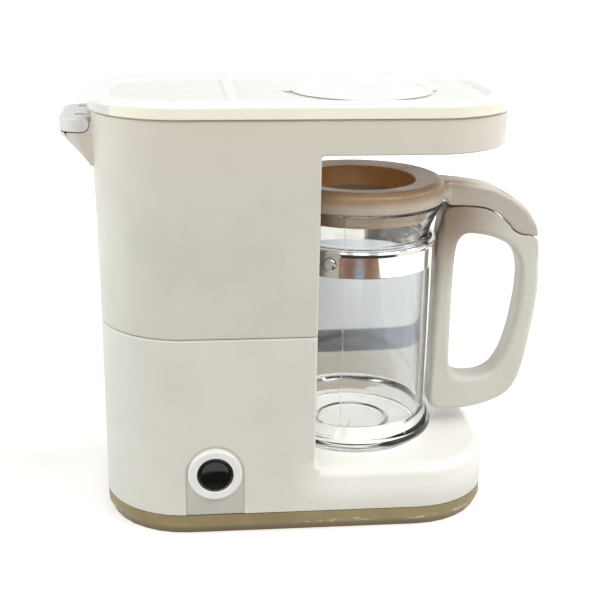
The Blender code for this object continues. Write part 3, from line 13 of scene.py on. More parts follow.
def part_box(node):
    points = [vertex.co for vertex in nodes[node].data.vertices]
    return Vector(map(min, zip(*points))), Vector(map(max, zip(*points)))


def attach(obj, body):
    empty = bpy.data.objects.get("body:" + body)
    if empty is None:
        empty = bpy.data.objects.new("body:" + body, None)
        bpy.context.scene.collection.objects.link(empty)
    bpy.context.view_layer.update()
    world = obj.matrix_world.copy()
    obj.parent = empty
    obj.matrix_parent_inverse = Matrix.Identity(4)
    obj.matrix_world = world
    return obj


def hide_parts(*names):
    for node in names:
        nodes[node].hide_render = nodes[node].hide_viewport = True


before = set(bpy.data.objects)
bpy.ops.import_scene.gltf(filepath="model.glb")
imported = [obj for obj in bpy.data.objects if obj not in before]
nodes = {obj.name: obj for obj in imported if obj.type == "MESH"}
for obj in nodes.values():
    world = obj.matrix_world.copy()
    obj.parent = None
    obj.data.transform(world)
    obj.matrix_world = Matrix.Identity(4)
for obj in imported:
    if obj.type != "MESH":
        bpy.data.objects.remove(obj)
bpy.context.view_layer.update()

# Fits and facets
GAP = 0.0003
RUNNING_GAP = 0.0004
OVERCUT = 0.0020
MERGE_DISTANCE = 0.000001
SHARP_ANGLE = math.radians(35)
CORNER_STEPS = 24
SCOOP_STEPS = 40
TURNED_STEPS = 128
SMALL_STEPS = 48
ROUNDING_STEPS = 5
GRIP_STEPS = 6
CURVE_STEPS = 7
DISH_STEPS = 14
CROWN_STEPS = 10
CORNER_SHARE = 0.48
LEAST_TURN = math.radians(2)
SOFTEN_ANGLE = math.radians(40)
SOFTEN_SEGMENTS = 3
NORMAL_WEIGHT = 80

# Housing
COLUMN_WIDTH = 0.0736
BAY_WIDTH = 0.0664
COLUMN_HORN_WIDTH = 0.0135
PLAN_RADIUS = 0.0300
WAIST_INSET = 0.0011
BASE_HEIGHT = 0.0072
PLATFORM_THICKNESS = 0.0158
LOWER_HEIGHT = 0.0717
BAY_HEIGHT = 0.1097
OVERHANG_DEPTH = 0.0119
COVER_THICKNESS = 0.0044
WALL = 0.0020
TONGUE_WALL = 0.0015
TONGUE_HEIGHT = 0.0028
TONGUE_ROOT = 0.0045
PLATFORM_ROUNDING = 0.0040
COLUMN_FILLET = 0.0020
SHELL_ROUNDING = 0.0009
SEAM_EDGE = 0.0007
SEAM_GAP = 0.00012
HORN_ROUNDING = 0.0012
SPOUT_HOLE_RADIUS = 0.0033
HOUSING_WIDTH = COLUMN_WIDTH + BAY_WIDTH
PLATFORM_Z = BASE_HEIGHT + PLATFORM_THICKNESS
OVERHANG_Z = PLATFORM_Z + BAY_HEIGHT
COVER_Z = OVERHANG_Z + OVERHANG_DEPTH
TOP_Z = COVER_Z + COVER_THICKNESS
WALL_X = -HOUSING_WIDTH / 2
COLUMN_EDGE_X = WALL_X + COLUMN_WIDTH
TONGUE_INSET = WALL + GAP
INNER_INSET = TONGUE_INSET + TONGUE_WALL

# Carafe
CARAFE_STANDOFF = 0.0184
BODY_RADIUS = 0.0265
FOOT_RADIUS = 0.0295
FOOT_CONTACT_RADIUS = 0.0268
NECK_RADIUS = 0.0254
RIM_RADIUS = 0.0305
GLASS_WALL = 0.0018
GLASS_FLOOR = 0.0024
FOOT_BEVEL = 0.0024
FOOT_HEIGHT = 0.0056
FOOT_SHOULDER_HEIGHT = 0.0097
BAND_FOOT_HEIGHT = 0.0647
BAND_HEIGHT = 0.0094
NECK_LENGTH = 0.0021
FLARE_HEIGHT = 0.0119
FLARE_SHARES = ((0.2, 0.3), (0.6, 0.7))
FLARE_ROUNDING = 0.0040
GLASS_ROUNDING = 0.0012
PUNT_RADIUS = 0.0130
PUNT_RISE = 0.0006
PUNT_WIDTH = 0.0010
CARAFE_X = COLUMN_EDGE_X + CARAFE_STANDOFF
GLASS_Z = PLATFORM_Z + GAP
BAND_Z = GLASS_Z + BAND_FOOT_HEIGHT
NECK_Z = BAND_Z + BAND_HEIGHT + NECK_LENGTH / 2
RIM_Z = NECK_Z + FLARE_HEIGHT

# Band and rivet
BAND_THICKNESS = 0.0014
BAND_LIP = 0.0008
BAND_EDGE = 0.0005
BAND_TAB_LENGTH = 0.0032
BAND_TAB_WIDTH = 0.0050
BAND_TAB_HEIGHT = 0.0064
TAB_BORE_START = 0.0009
RIVET_RADIUS = 0.0024
RIVET_HEIGHT = 0.0009
RIVET_RIM_SHARE = 0.3
RIVET_ANGLE = math.radians(-118)
BAND_RADIUS = BODY_RADIUS + GAP + BAND_THICKNESS
LIP_RADIUS = BAND_RADIUS + BAND_LIP - BAND_EDGE
SCOOP_RADIUS = 0.0323
SCOOP_HALF_CHORD = math.sqrt(SCOOP_RADIUS ** 2 - CARAFE_STANDOFF ** 2)
HOUSING_DEPTH = 2 * (SCOOP_HALF_CHORD + COLUMN_HORN_WIDTH)

# Carafe lid
LID_HEIGHT = 0.0067
LID_HOLE_RADIUS = 0.0200
LID_ROUNDING = 0.0030
LID_COLLAR_DEPTH = 0.0004
LID_SKIRT_WALL = 0.0014
LID_LIP = 0.0011
LID_HEM_DEPTH = 0.0052
LID_HEM_SHARE = 0.36

# Handle and the lid's arm: places are shares of the handle's reach and height
HANDLE_REACH = 0.03925
HANDLE_ABOVE_PLATFORM = 0.00545
HANDLE_TOP_BELOW_RIM = 0.0029
HANDLE_WIDTH = 0.0112
GRIP_ROUNDING = 0.0026
SEAM_ROUNDING = 0.0007
ARM_ROUNDING = 0.0024
HANDLE_X = CARAFE_X + LIP_RADIUS
HANDLE_Z = PLATFORM_Z + HANDLE_ABOVE_PLATFORM
HANDLE_HEIGHT = RIM_Z - HANDLE_TOP_BELOW_RIM - HANDLE_Z
SCREW_SHANK_RADIUS = 0.0013
SCREW_HEAD_RADIUS = 0.0028
SCREW_HEAD_HEIGHT = 0.0016
HANDLE_OUTER_SHARES = (
    (0.000, 0.060), (0.000, 0.230), (0.000, 0.500), (0.000, 0.720), (0.004, 0.830), (0.020, 0.915),
    (0.085, 0.993), (0.413, 0.989), (0.600, 0.937), (0.700, 0.885), (0.780, 0.864), (0.870, 0.858),
    (0.938, 0.834), (0.975, 0.720), (0.983, 0.590), (0.948, 0.420), (0.890, 0.235), (0.818, 0.130),
    (0.725, 0.076), (0.600, 0.044), (0.440, 0.020), (0.220, 0.006), (0.060, 0.018),
)
HANDLE_HOLE_SHARES = (
    (0.178, 0.235), (0.168, 0.330), (0.167, 0.530), (0.172, 0.700), (0.183, 0.790), (0.212, 0.842),
    (0.290, 0.868), (0.470, 0.857), (0.610, 0.832), (0.690, 0.805), (0.742, 0.775), (0.778, 0.740),
    (0.798, 0.700), (0.806, 0.640), (0.798, 0.560), (0.768, 0.440), (0.718, 0.325), (0.668, 0.262),
    (0.600, 0.212), (0.500, 0.184), (0.400, 0.176), (0.290, 0.180), (0.212, 0.200),
)
HANDLE_SEAM_STEPS = (6, 12)
ARM_LOWER_SHARES = (
    (-0.150, 1.043), (0.050, 1.042), (0.090, 1.010), (0.241, 1.0045), (0.415, 0.9945), (0.525, 0.971),
    (0.606, 0.9415), (0.663, 0.913), (0.706, 0.889), (0.782, 0.869), (0.871, 0.863), (0.920, 0.8555),
)
ARM_UPPER_SHARES = (
    (-0.150, 1.100), (0.040, 1.118), (0.130, 1.118), (0.250, 1.112), (0.460, 1.092), (0.590, 1.062),
    (0.690, 1.034), (0.775, 1.001), (0.832, 0.975), (0.888, 0.935), (0.922, 0.898), (0.932, 0.869),
)
ARM_WIDTH_SHARES = (1.700, 1.280, 1.060, 1.010, 1.000, 1.000, 1.000, 1.000, 1.000, 1.000, 1.000, 0.980)

# Top cover and filter cap
COVER_PROUD = 0.00099
COVER_EDGE = 0.0012
COVER_WEB = 0.0015
COVER_LIP_HEIGHT = 0.0024
POCKET_DEPTH = 0.0013
POCKET_SIDE_MARGIN = 0.0100
POCKET_END_MARGIN = 0.0055
POCKET_RADIUS = 0.0220
POCKET_INNER_RADIUS = 0.0030
POCKET_DRAFT = 0.0006
POCKET_RIM = 0.0004
RIB_FROM_EDGE = 0.0270
RIB_WIDTH = 0.0022
CAP_RADIUS = 0.0245
CAP_HOLE_RADIUS = 0.0229
CAP_FLANGE = 0.0009
CAP_DISH = 0.0004
CAP_RIM_WIDTH = 0.0022
CAP_SKIRT_WALL = 0.0014
CAP_SKIRT_DEPTH = 0.0028
CAP_LUG_LENGTH = 0.0022
CAP_LUG_WIDTH = 0.0060
CAP_MARK_LENGTH = 0.0080
CAP_MARK_WIDTH = 0.0010
POCKET_Z = TOP_Z - POCKET_DEPTH
COVER_UNDERSIDE_Z = POCKET_Z - COVER_WEB
RIB_X = COLUMN_EDGE_X - RIB_FROM_EDGE

# Water filler
FILLER_WIDTH = 0.0320
FILLER_REACH = 0.0105
FILLER_RADIUS = 0.0070
FILLER_LID_THICKNESS = 0.0050
FILLER_BELOW_SEAM = 0.0029
FILLER_LID_EDGE = 0.0013
FILLER_FACE_HEIGHT = 0.0008
FILLER_WALL = 0.0016
FILLER_ROOT = 0.0010
FILLER_WINDOW_DROP = 0.0020
EAR_WIDTH = 0.0026
EAR_SPACING = 0.0180
EAR_RADIUS = 0.0019
PIN_RADIUS = 0.0008
HINGE_STEP = 0.0001
CHEEK_ANGLE = math.radians(20)
FILLER_LID_TOP_Z = COVER_Z - FILLER_BELOW_SEAM
FILLER_LID_Z = FILLER_LID_TOP_Z - FILLER_LID_THICKNESS
FILLER_Z = FILLER_LID_Z - GAP
BARREL_RADIUS = FILLER_LID_THICKNESS / 2 - HINGE_STEP
HINGE_X = WALL_X - RUNNING_GAP - BARREL_RADIUS
HINGE_Z = FILLER_LID_Z + FILLER_LID_THICKNESS / 2
FILLER_FLOOR_Z = FILLER_Z - FILLER_FACE_HEIGHT - FILLER_REACH

# Switch
SWITCH_X = WALL_X + 0.0390
SWITCH_Z = 0.0233
SLOT_WIDTH = 0.0200
PANEL_GAP = 0.00008
PANEL_FLANGE = 0.0014
PANEL_FLANGE_MARGIN = 0.0018
RING_RADIUS = 0.00925
RING_PROUD = 0.0026
RING_ROUNDING = 0.0010
RING_INNER_SHARE = 0.6
BARREL_BORE_RADIUS = 0.0062
BARREL_WALL = 0.0015
BARREL_LENGTH = 0.0060
BUTTON_RECESS = 0.0003
BUTTON_DISH = 0.0006
BUTTON_EDGE = 0.0008
BUTTON_TRAVEL = 0.0018
LOWER_FRONT_Y = WAIST_INSET - HOUSING_DEPTH / 2
PANEL_Y = LOWER_FRONT_Y + 0.0003
RING_Y = LOWER_FRONT_Y + 0.0005
PANEL_BACK_Y = LOWER_FRONT_Y + WALL + GAP + PANEL_FLANGE
LIP_Z = BASE_HEIGHT + 0.0022

# Tints, scuffs, and painted light and shade: each pair is where one begins and ends along an axis or a
# distance
WARM_HEIGHTS = (0.105, 0.146)
LOWER_LIGHT_HEIGHTS = (0.0712, 0.0722)
PLATFORM_LIGHT_HEIGHTS = (0.0075, 0.0175)
PLATFORM_LIGHT_TOPS = (0.0240, 0.0300)
PLATFORM_LIGHT_SIDES = (-0.014, 0.016)
FIELD_SHADE_SIDES = (-0.060, 0.030)
SHADED_CORNER_X = HANDLE_X + 0.0010
SHADED_CORNER_Z = RIM_Z - 0.0025
SHADED_CORNER_WIDTH = 0.022
SHADED_CORNER_HEIGHT = 0.028
FOOT_SHADE_HEIGHTS = (0.0012, 0.0038)
SCUFF_STARTS = (0.0026, 0.0034)
SCUFF_ENDS = (0.0038, 0.0046)
ARM_SHADE_FADE_SIDES = (0.050, 0.066)
ARM_SHADE_END_SIDES = (0.062, 0.076)
LID_HOLE_SHADE = (LID_HOLE_RADIUS + 0.0005, LID_HOLE_RADIUS + 0.0022)
LID_LOW_HEIGHTS = (RIM_Z + 0.0022, RIM_Z + 0.0052)
LID_SKIN = (RIM_RADIUS - 0.0025, RIM_RADIUS - 0.0008)
LID_GREY_SIDES = (-0.010, 0.022)
JUG_SEAM_ANGLE = math.radians(108)
JUG_SEAM_WIDTH = 0.012
JUG_SEAM_HEIGHT = 1.6

# Floor, cards and surround
FLOOR_HALF = 3.0
FLOOR_COLOUR = (0.80, 0.78, 0.75, 1.0)
WHITE_LIGHT = (1.0, 1.0, 1.0, 1.0)
NEAR_GLOW = 0.42
FAR_GLOW = 1.0
GLOW_RADII = (0.14, 0.45)
CARD_HEIGHT = 0.001
BACKDROP_CORNERS = ((-0.6, 0.05), (0.7, 1.2))
BACKDROP_SIDES = (0.035, 0.078)
BACKDROP_FADE = (0.38, 0.44)
TABLE_END = 0.133
TABLE_BLUR = 0.001
WALL_START = 0.165
WALL_BLUR = 0.002
FRONT_CORNERS = ((-0.45, -0.75), (0.15, -0.075))
FRONT_NEAR = (-0.20, -0.13)
WINDOW_Y = -0.31
WINDOW_RADII = (0.020, 0.055)
AMBIENT = 0.25
ROOM_GLOW = 0.22
ROOM_HEIGHTS = (0.10, 0.45)
ROOM_DEPTHS = (-0.35, 0.10)

# Name, azimuth from the front to the right, elevation, distance, size, energy and colour of each lamp
LAMPS = (
    ("front", 0, 42, 1.1, 0.35, 1.3, (1.0, 0.99, 0.97)),
    ("left", -45, 45, 1.1, 0.55, 2.8, (1.0, 1.0, 1.0)),
    ("side", -90, 25, 1.0, 0.60, 3.6, (0.95, 0.98, 1.0)),
    ("right", 45, 40, 1.1, 0.45, 3.1, (1.0, 0.98, 0.95)),
    ("far_right", 90, 38, 1.0, 0.45, 4.0, (1.0, 1.0, 1.0)),
)
LAMP_TARGET = (0.0, 0.0, 0.08)

# Camera
CAMERA_PLACE = (-0.044775, -0.394916, 0.203788)
CAMERA_RIGHT = (0.99537088, -0.0956529, 0.00934511)
CAMERA_UP = (0.0212566, 0.31393343, 0.94920702)
CAMERA_FORWARD = (0.09372815, 0.94461438, -0.31451345)
CAMERA_SENSOR = 36.0
CAMERA_LENS = 69.14
CAMERA_SHIFT = 0.0342

FACING_FRONT = Matrix.Rotation(math.pi / 2, 4, "X")
FACING_RIGHT = Matrix.Rotation(math.pi / 2, 4, "Y")
UPRIGHT = Matrix.Identity(4)
CARAFE_PLACE = Matrix.Translation((CARAFE_X, 0, 0))
HINGE_PLACE = Matrix.Translation((HINGE_X, 0, HINGE_Z)) @ FACING_FRONT
SWITCH_PLACE = Matrix.Translation((SWITCH_X, RING_Y, SWITCH_Z)) @ FACING_FRONT


# Shapes

def new_object(name, bm):
    bmesh.ops.recalc_face_normals(bm, faces=bm.faces)
    mesh = bpy.data.meshes.new(name)
    bm.to_mesh(mesh)
    bm.free()
    made = bpy.data.objects.new(name, mesh)
    bpy.context.scene.collection.objects.link(made)
    return made


def rounded(points, closed=True):
    """Points of an outline. A point with a third value has its corner rounded to that radius."""
    made = []
    count = len(points)
    for i, point in enumerate(points):
        end = not closed and i in (0, count - 1)
        if len(point) == 2 or point[2] == 0 or end:
            made.append((point[0], point[1]))
            continue
        here = Vector(point[:2])
        come = here - Vector(points[i - 1][:2])
        go = Vector(points[(i + 1) % count][:2]) - here
        room = CORNER_SHARE * min(come.length, go.length)
        come.normalize()
        go.normalize()
        turn = max(LEAST_TURN, math.acos(max(-1.0, min(1.0, come.dot(go)))))
        reach = min(point[2] * math.tan(turn / 2), room)
        radius = reach / math.tan(turn / 2)
        side = 1 if come.cross(go) > 0 else -1
        inward = Vector((-come.y, come.x)) * side
        start = here - come * reach
        centre = start + inward * radius
        for step in range(ROUNDING_STEPS + 1):
            angle = turn * step / ROUNDING_STEPS
            spot = centre - inward * radius * math.cos(angle) + come * radius * math.sin(angle)
            made.append((spot.x, spot.y))
    return made


def loft(name, rings, upright=True):
    """A solid through closed rings of (points, place)."""
    bm = bmesh.new()
    rows = []
    for points, place in rings:
        flat = rounded(points)
        spots = [(a, b, place) if upright else (a, place, b) for a, b in flat]
        rows.append([bm.verts.new(spot) for spot in spots])
    count = len(rows[0])
    for lower, upper in zip(rows, rows[1:]):
        for i in range(count):
            j = (i + 1) % count
            bm.faces.new((lower[i], lower[j], upper[j], upper[i]))
    bm.faces.new(rows[0])
    bm.faces.new(rows[-1])
    return new_object(name, bm)


def turned(name, profile, place=UPRIGHT, steps=TURNED_STEPS):
    """A solid turned about its own Z axis from (radius, height) points, with rounded corners as asked."""
    bm = bmesh.new()
    closed = profile[0][0] > 0
    flat = rounded(profile, closed)
    verts = [bm.verts.new((radius, 0, height)) for radius, height in flat]
    edges = [bm.edges.new(pair) for pair in zip(verts, verts[1:])]
    if closed:
        edges.append(bm.edges.new((verts[-1], verts[0])))
    bmesh.ops.spin(bm, geom=verts + edges, cent=(0, 0, 0), axis=(0, 0, 1), angle=math.tau, steps=steps)
    bmesh.ops.remove_doubles(bm, verts=bm.verts, dist=MERGE_DISTANCE)
    bmesh.ops.transform(bm, matrix=place, verts=bm.verts)
    return new_object(name, bm)


def rod(name, radius, low, high, place=UPRIGHT, steps=SMALL_STEPS):
    bm = bmesh.new()
    middle = Matrix.Translation((0, 0, (low + high) / 2))
    bmesh.ops.create_cone(bm, cap_ends=True, segments=steps, radius1=radius, radius2=radius,
                          depth=high - low, matrix=place @ middle)
    return new_object(name, bm)


def box(name, low, high):
    corners = ((low[0], low[1]), (high[0], low[1]), (high[0], high[1]), (low[0], high[1]))
    return loft(name, ((corners, low[2]), (corners, high[2])))


def sweep(name, sections, closed):
    """A solid through 3-D sections, either closed into a loop or capped at its two ends."""
    bm = bmesh.new()
    rows = [[bm.verts.new(p) for p in section] for section in sections]
    count = len(rows[0])
    pairs = list(zip(rows, rows[1:]))
    if closed:
        pairs.append((rows[-1], rows[0]))
    else:
        bm.faces.new(rows[0])
        bm.faces.new(rows[-1])
    for first, second in pairs:
        for i in range(count):
            j = (i + 1) % count
            bm.faces.new((first[i], first[j], second[j], second[i]))
    return new_object(name, bm)


def bake(target):
    """Turns an object's modifiers into its mesh."""
    bpy.context.view_layer.update()
    depsgraph = bpy.context.evaluated_depsgraph_get()
    made = bpy.data.meshes.new_from_object(target.evaluated_get(depsgraph))
    old = target.data
    target.modifiers.clear()
    target.data = made
    bpy.data.meshes.remove(old)


def combine(target, other, operation):
    modifier = target.modifiers.new("form", "BOOLEAN")
    modifier.operation = operation
    modifier.solver = "EXACT"
    modifier.object = other
    bake(target)
    helper = other.data
    bpy.data.objects.remove(other)
    bpy.data.meshes.remove(helper)


def join(target, *others):
    for other in others:
        combine(target, other, "UNION")


def cut(target, *cutters):
    for cutter in cutters:
        combine(target, cutter, "DIFFERENCE")


def soften(target, width):
    """Rounds every sharp edge of a plain solid."""
    modifier = target.modifiers.new("edges", "BEVEL")
    modifier.width = width
    modifier.segments = SOFTEN_SEGMENTS
    modifier.limit_method = "ANGLE"
    modifier.angle_limit = SOFTEN_ANGLE
    modifier.use_clamp_overlap = False
    bake(target)


def dress(piece, finish, slot, body, *replaced):
    """Smooth shading, a material and a body for a finished piece. The slot is not used."""
    mesh = piece.data
    mesh.materials.clear()
    mesh.materials.append(finish)
    mesh.shade_smooth()
    mesh.set_sharp_from_angle(angle=SHARP_ANGLE)
    smooth = piece.modifiers.new("normals", "WEIGHTED_NORMAL")
    smooth.keep_sharp = True
    smooth.weight = NORMAL_WEIGHT
    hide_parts(*replaced)
    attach(piece, body)
    return piece


def arc(centre_x, centre_y, radius, start, stop, steps=CORNER_STEPS):
    angles = [math.radians(start + (stop - start) * i / steps) for i in range(steps + 1)]
    return [(centre_x + radius * math.cos(a), centre_y + radius * math.sin(a)) for a in angles]


def rounded_plan(left, right, half_depth, left_radius, right_radius):
    return (
        arc(right - right_radius, right_radius - half_depth, right_radius, -90, 0)
        + arc(right - right_radius, half_depth - right_radius, right_radius, 0, 90)
        + arc(left + left_radius, half_depth - left_radius, left_radius, 90, 180)
        + arc(left + left_radius, left_radius - half_depth, left_radius, 180, 270)
    )


def footprint(inset):
    half_width = HOUSING_WIDTH / 2 - inset
    radius = PLAN_RADIUS - inset
    return rounded_plan(-half_width, half_width, HOUSING_DEPTH / 2 - inset, radius, radius)


def column_plan(inset, bay_inset):
    """The left end of the housing, scooped out round the carafe, with its two horns rounded off."""
    half_width = HOUSING_WIDTH / 2 - inset
    half_depth = HOUSING_DEPTH / 2 - inset
    radius = PLAN_RADIUS - inset
    edge = COLUMN_EDGE_X - bay_inset
    scoop = SCOOP_RADIUS + bay_inset
    reach = math.degrees(math.acos((CARAFE_X - edge) / scoop))
    hollow = arc(CARAFE_X, 0, scoop, 180 + reach, 180 - reach, SCOOP_STEPS)
    hollow[0] = (*hollow[0], HORN_ROUNDING)
    hollow[-1] = (*hollow[-1], HORN_ROUNDING)
    return (
        [(edge, -half_depth, HORN_ROUNDING)] + hollow + [(edge, half_depth, HORN_ROUNDING)]
        + arc(radius - half_width, half_depth - radius, radius, 90, 180)
        + arc(radius - half_width, radius - half_depth, radius, 180, 270)
    )


def platform_plan(inset):
    left = CARAFE_X - SCOOP_RADIUS - WALL
    right = HOUSING_WIDTH / 2 - inset
    half_depth = HOUSING_DEPTH / 2 - inset
    radius = PLAN_RADIUS - inset
    return (
        [(left, -half_depth)]
        + arc(right - radius, radius - half_depth, radius, -90, 0)
        + arc(right - radius, half_depth - radius, radius, 0, 90)
        + [(left, half_depth)]
    )


def quarter(steps):
    """(sine, cosine) pairs from nothing to a quarter turn."""
    turns = [math.pi / 2 * i / steps for i in range(steps + 1)]
    return [(math.sin(turn), math.cos(turn)) for turn in turns]


def eased_wall(low, high, edge):
    """(inset, height) pairs up a wall, its top edge rounded and its foot a third as much."""
    foot = edge / 3
    pairs = [(foot * (1 - rise), low + foot * (1 - level)) for rise, level in quarter(ROUNDING_STEPS)]
    pairs += [(edge * (1 - level), high - edge * (1 - rise)) for rise, level in quarter(2 * ROUNDING_STEPS)]
    return pairs


def slot_form(name, inset, bottom, front, back):
    radius = SLOT_WIDTH / 2 - inset
    outline = [(SWITCH_X - radius, bottom), (SWITCH_X + radius, bottom)]
    outline += arc(SWITCH_X, SWITCH_Z, radius, 0, 180, SMALL_STEPS)
    return loft(name, ((outline, front), (outline, back)), upright=False)


def make_lower_housing():
    low = BASE_HEIGHT + GAP
    shoulder = LOWER_HEIGHT - SEAM_GAP / 2
    rings = [(column_plan(WAIST_INSET, -COLUMN_FILLET), low)]
    for rise, level in quarter(ROUNDING_STEPS):
        rings.append((column_plan(WAIST_INSET, -COLUMN_FILLET * (1 - rise)),
                      PLATFORM_Z + COLUMN_FILLET * (1 - level)))
    for rise, level in quarter(ROUNDING_STEPS):
        drawn = SEAM_EDGE * (1 - level)
        rings.append((column_plan(WAIST_INSET + drawn, drawn), shoulder - SEAM_EDGE * (1 - rise)))
    tongue = column_plan(WAIST_INSET + TONGUE_INSET, TONGUE_INSET)
    rings.append((tongue, shoulder))
    rings.append((tongue, LOWER_HEIGHT + TONGUE_HEIGHT))
    housing = loft("lower_shell", rings)

    rings = [(platform_plan(WAIST_INSET), low)]
    for rise, level in quarter(2 * ROUNDING_STEPS):
        inset = WAIST_INSET + PLATFORM_ROUNDING * (1 - level)
        rings.append((platform_plan(inset), PLATFORM_Z - PLATFORM_ROUNDING * (1 - rise)))
    join(housing, loft("platform_form", rings))

    narrow = LOWER_HEIGHT - TONGUE_ROOT
    cut(housing, loft("column_room", (
        (column_plan(WAIST_INSET + WALL, WALL), low - OVERCUT),
        (column_plan(WAIST_INSET + WALL, WALL), narrow),
        (column_plan(WAIST_INSET + INNER_INSET, INNER_INSET), narrow + TONGUE_WALL),
        (column_plan(WAIST_INSET + INNER_INSET, INNER_INSET), LOWER_HEIGHT + TONGUE_HEIGHT + OVERCUT),
    )))
    cut(housing, loft("platform_room", (
        (platform_plan(WAIST_INSET + WALL), low - OVERCUT),
        (platform_plan(WAIST_INSET + WALL), PLATFORM_Z - WALL),
    )))
    cut(housing, slot_form("switch_slot", 0, low - OVERCUT, LOWER_FRONT_Y - OVERCUT,
                           LOWER_FRONT_Y + WALL + OVERCUT))
    return housing


def filler_plan(reach, inset=0.0):
    root = WALL_X + FILLER_ROOT
    half = FILLER_WIDTH / 2 - inset
    long = FILLER_RADIUS * reach / FILLER_REACH
    tip = WALL_X - reach
    back = [(tip + long * (1 - rise), half - FILLER_RADIUS * (1 - level))
            for rise, level in quarter(CORNER_STEPS)]
    return [(root, half)] + back + [(x, -y) for x, y in reversed(back)] + [(root, -half)]


def make_filler_form():
    reach = FILLER_REACH - GAP
    stub = FILLER_ROOT / 2
    return loft("filler_form", (
        (filler_plan(stub), FILLER_FLOOR_Z + stub),
        (filler_plan(reach), FILLER_Z - FILLER_FACE_HEIGHT),
        (filler_plan(reach), FILLER_Z),
    ))


def make_filler_room():
    reach = FILLER_REACH - GAP - FILLER_WALL
    half = FILLER_WIDTH / 2 - FILLER_WALL
    tip = WALL_X - reach
    step_z = FILLER_Z - FILLER_FACE_HEIGHT - FILLER_WALL + FILLER_WALL * math.sqrt(2)
    inner_x = WALL_X + WALL + WAIST_INSET + OVERCUT
    window_top = FILLER_Z - FILLER_WINDOW_DROP
    lintel_x = WALL_X - FILLER_WINDOW_DROP / 4
    outline = (
        (tip, FILLER_Z + OVERCUT), (tip, step_z), (inner_x, step_z - (inner_x - tip)),
        (inner_x, window_top), (lintel_x, window_top), (lintel_x, FILLER_Z + OVERCUT),
    )
    return loft("filler_room", ((outline, -half), (outline, half)), upright=False)


def make_ear(side):
    root = WALL_X + FILLER_ROOT
    outline = [(root, HINGE_Z - EAR_RADIUS), (root, HINGE_Z + EAR_RADIUS)]
    outline += arc(HINGE_X, HINGE_Z, EAR_RADIUS, 90, 270)
    front = side * EAR_SPACING / 2 - EAR_WIDTH / 2
    ear = loft("ear", ((outline, front), (outline, front + EAR_WIDTH)), upright=False)
    cut(ear, rod("ear_bore", PIN_RADIUS + GAP, -FILLER_WIDTH, FILLER_WIDTH, HINGE_PLACE))
    return ear


def make_cheek(side):
    """A low web that closes the corner between the lid's barrel and the wall."""
    room = BARREL_RADIUS + GAP
    outline = [(WALL_X + FILLER_ROOT, FILLER_Z - GAP)]
    outline += [(WALL_X + FILLER_ROOT, HINGE_Z + room * math.sin(CHEEK_ANGLE))]
    outline += arc(HINGE_X, HINGE_Z, room, math.degrees(CHEEK_ANGLE), -90)
    outline += [(HINGE_X, FILLER_Z - GAP)]
    outer = side * (FILLER_WIDTH / 2 - GAP)
    inner = outer - side * FILLER_WALL / 2
    return loft("cheek", ((outline, min(outer, inner)), (outline, max(outer, inner))), upright=False)


def make_upper_housing():
    low = LOWER_HEIGHT + SEAM_GAP / 2
    high = COVER_Z - GAP
    housing = loft("upper_shell", ((footprint(WAIST_INSET), low), (footprint(0), high)))
    far_x = HOUSING_WIDTH
    far_y = HOUSING_DEPTH
    reach = math.degrees(math.acos((CARAFE_X - COLUMN_EDGE_X) / SCOOP_RADIUS))
    bay = (
        [(COLUMN_EDGE_X, -far_y), (far_x, -far_y), (far_x, far_y), (COLUMN_EDGE_X, far_y)]
        + arc(CARAFE_X, 0, SCOOP_RADIUS, 180 - reach, 180 + reach, SCOOP_STEPS)
    )
    cut(housing, loft("bay_room", ((bay, low - OVERCUT), (bay, OVERHANG_Z))))
    soften(housing, SHELL_ROUNDING)
    join(housing, make_filler_form())
    for side in (-1, 1):
        join(housing, make_ear(side), make_cheek(side))
    drawn_in = WAIST_INSET * OVERHANG_DEPTH / (high - low)
    cut(housing, loft("upper_column_room", (
        (column_plan(WAIST_INSET + WALL, WALL), low - OVERCUT),
        (column_plan(drawn_in + WALL, WALL), OVERHANG_Z + WALL + OVERCUT),
    )))
    cut(housing, loft("overhang_room", (
        (footprint(WAIST_INSET + WALL), OVERHANG_Z + WALL),
        (footprint(WAIST_INSET + WALL), high + OVERCUT),
    )))
    cut(housing, make_filler_room())
    cut(housing, rod("spout_hole", SPOUT_HOLE_RADIUS, OVERHANG_Z - OVERCUT, OVERHANG_Z + WALL + OVERCUT,
                     CARAFE_PLACE))
    return housing


def make_filler_lid():
    rings = []
    for inset, height in eased_wall(FILLER_LID_Z, FILLER_LID_TOP_Z, FILLER_LID_EDGE):
        plan = filler_plan(FILLER_REACH - inset, inset)
        rings.append(([(min(x, HINGE_X), y) for x, y in plan], height))
    lid = loft("filler_flap", rings)
    barrel_end = FILLER_WIDTH / 2 - GAP
    join(lid, rod("lid_barrel", BARREL_RADIUS, -barrel_end, barrel_end, HINGE_PLACE))
    reach = EAR_RADIUS + RUNNING_GAP
    for side in (-1, 1):
        middle = side * EAR_SPACING / 2
        notch = EAR_WIDTH / 2 + RUNNING_GAP
        cut(lid, box("ear_notch", (HINGE_X - reach, middle - notch, FILLER_LID_Z - OVERCUT),
                     (WALL_X, middle + notch, FILLER_LID_TOP_Z + OVERCUT)))
    bore_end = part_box("filler_pin")[1][1] + GAP
    cut(lid, rod("lid_bore", PIN_RADIUS + GAP, -bore_end, bore_end, HINGE_PLACE))
    return lid


def pocket(name, left, right, left_radius, right_radius):
    """A shallow tapered recess with a rounded foot and a rounded rim."""
    half = HOUSING_DEPTH / 2 - POCKET_SIDE_MARGIN
    levels = []
    for rise, level in quarter(ROUNDING_STEPS):
        levels.append((POCKET_DRAFT + POCKET_RIM * (1 - rise), POCKET_Z + POCKET_RIM * (1 - level)))
    for rise, level in quarter(ROUNDING_STEPS):
        levels.append((-POCKET_RIM * (1 - level), TOP_Z - POCKET_RIM * (1 - rise)))
    levels.append((-POCKET_RIM - OVERCUT, TOP_Z + OVERCUT))
    rings = []
    for inset, height in levels:
        plan = rounded_plan(left + inset, right - inset, half - inset, left_radius, right_radius)
        rings.append((plan, height))
    return loft(name, rings)


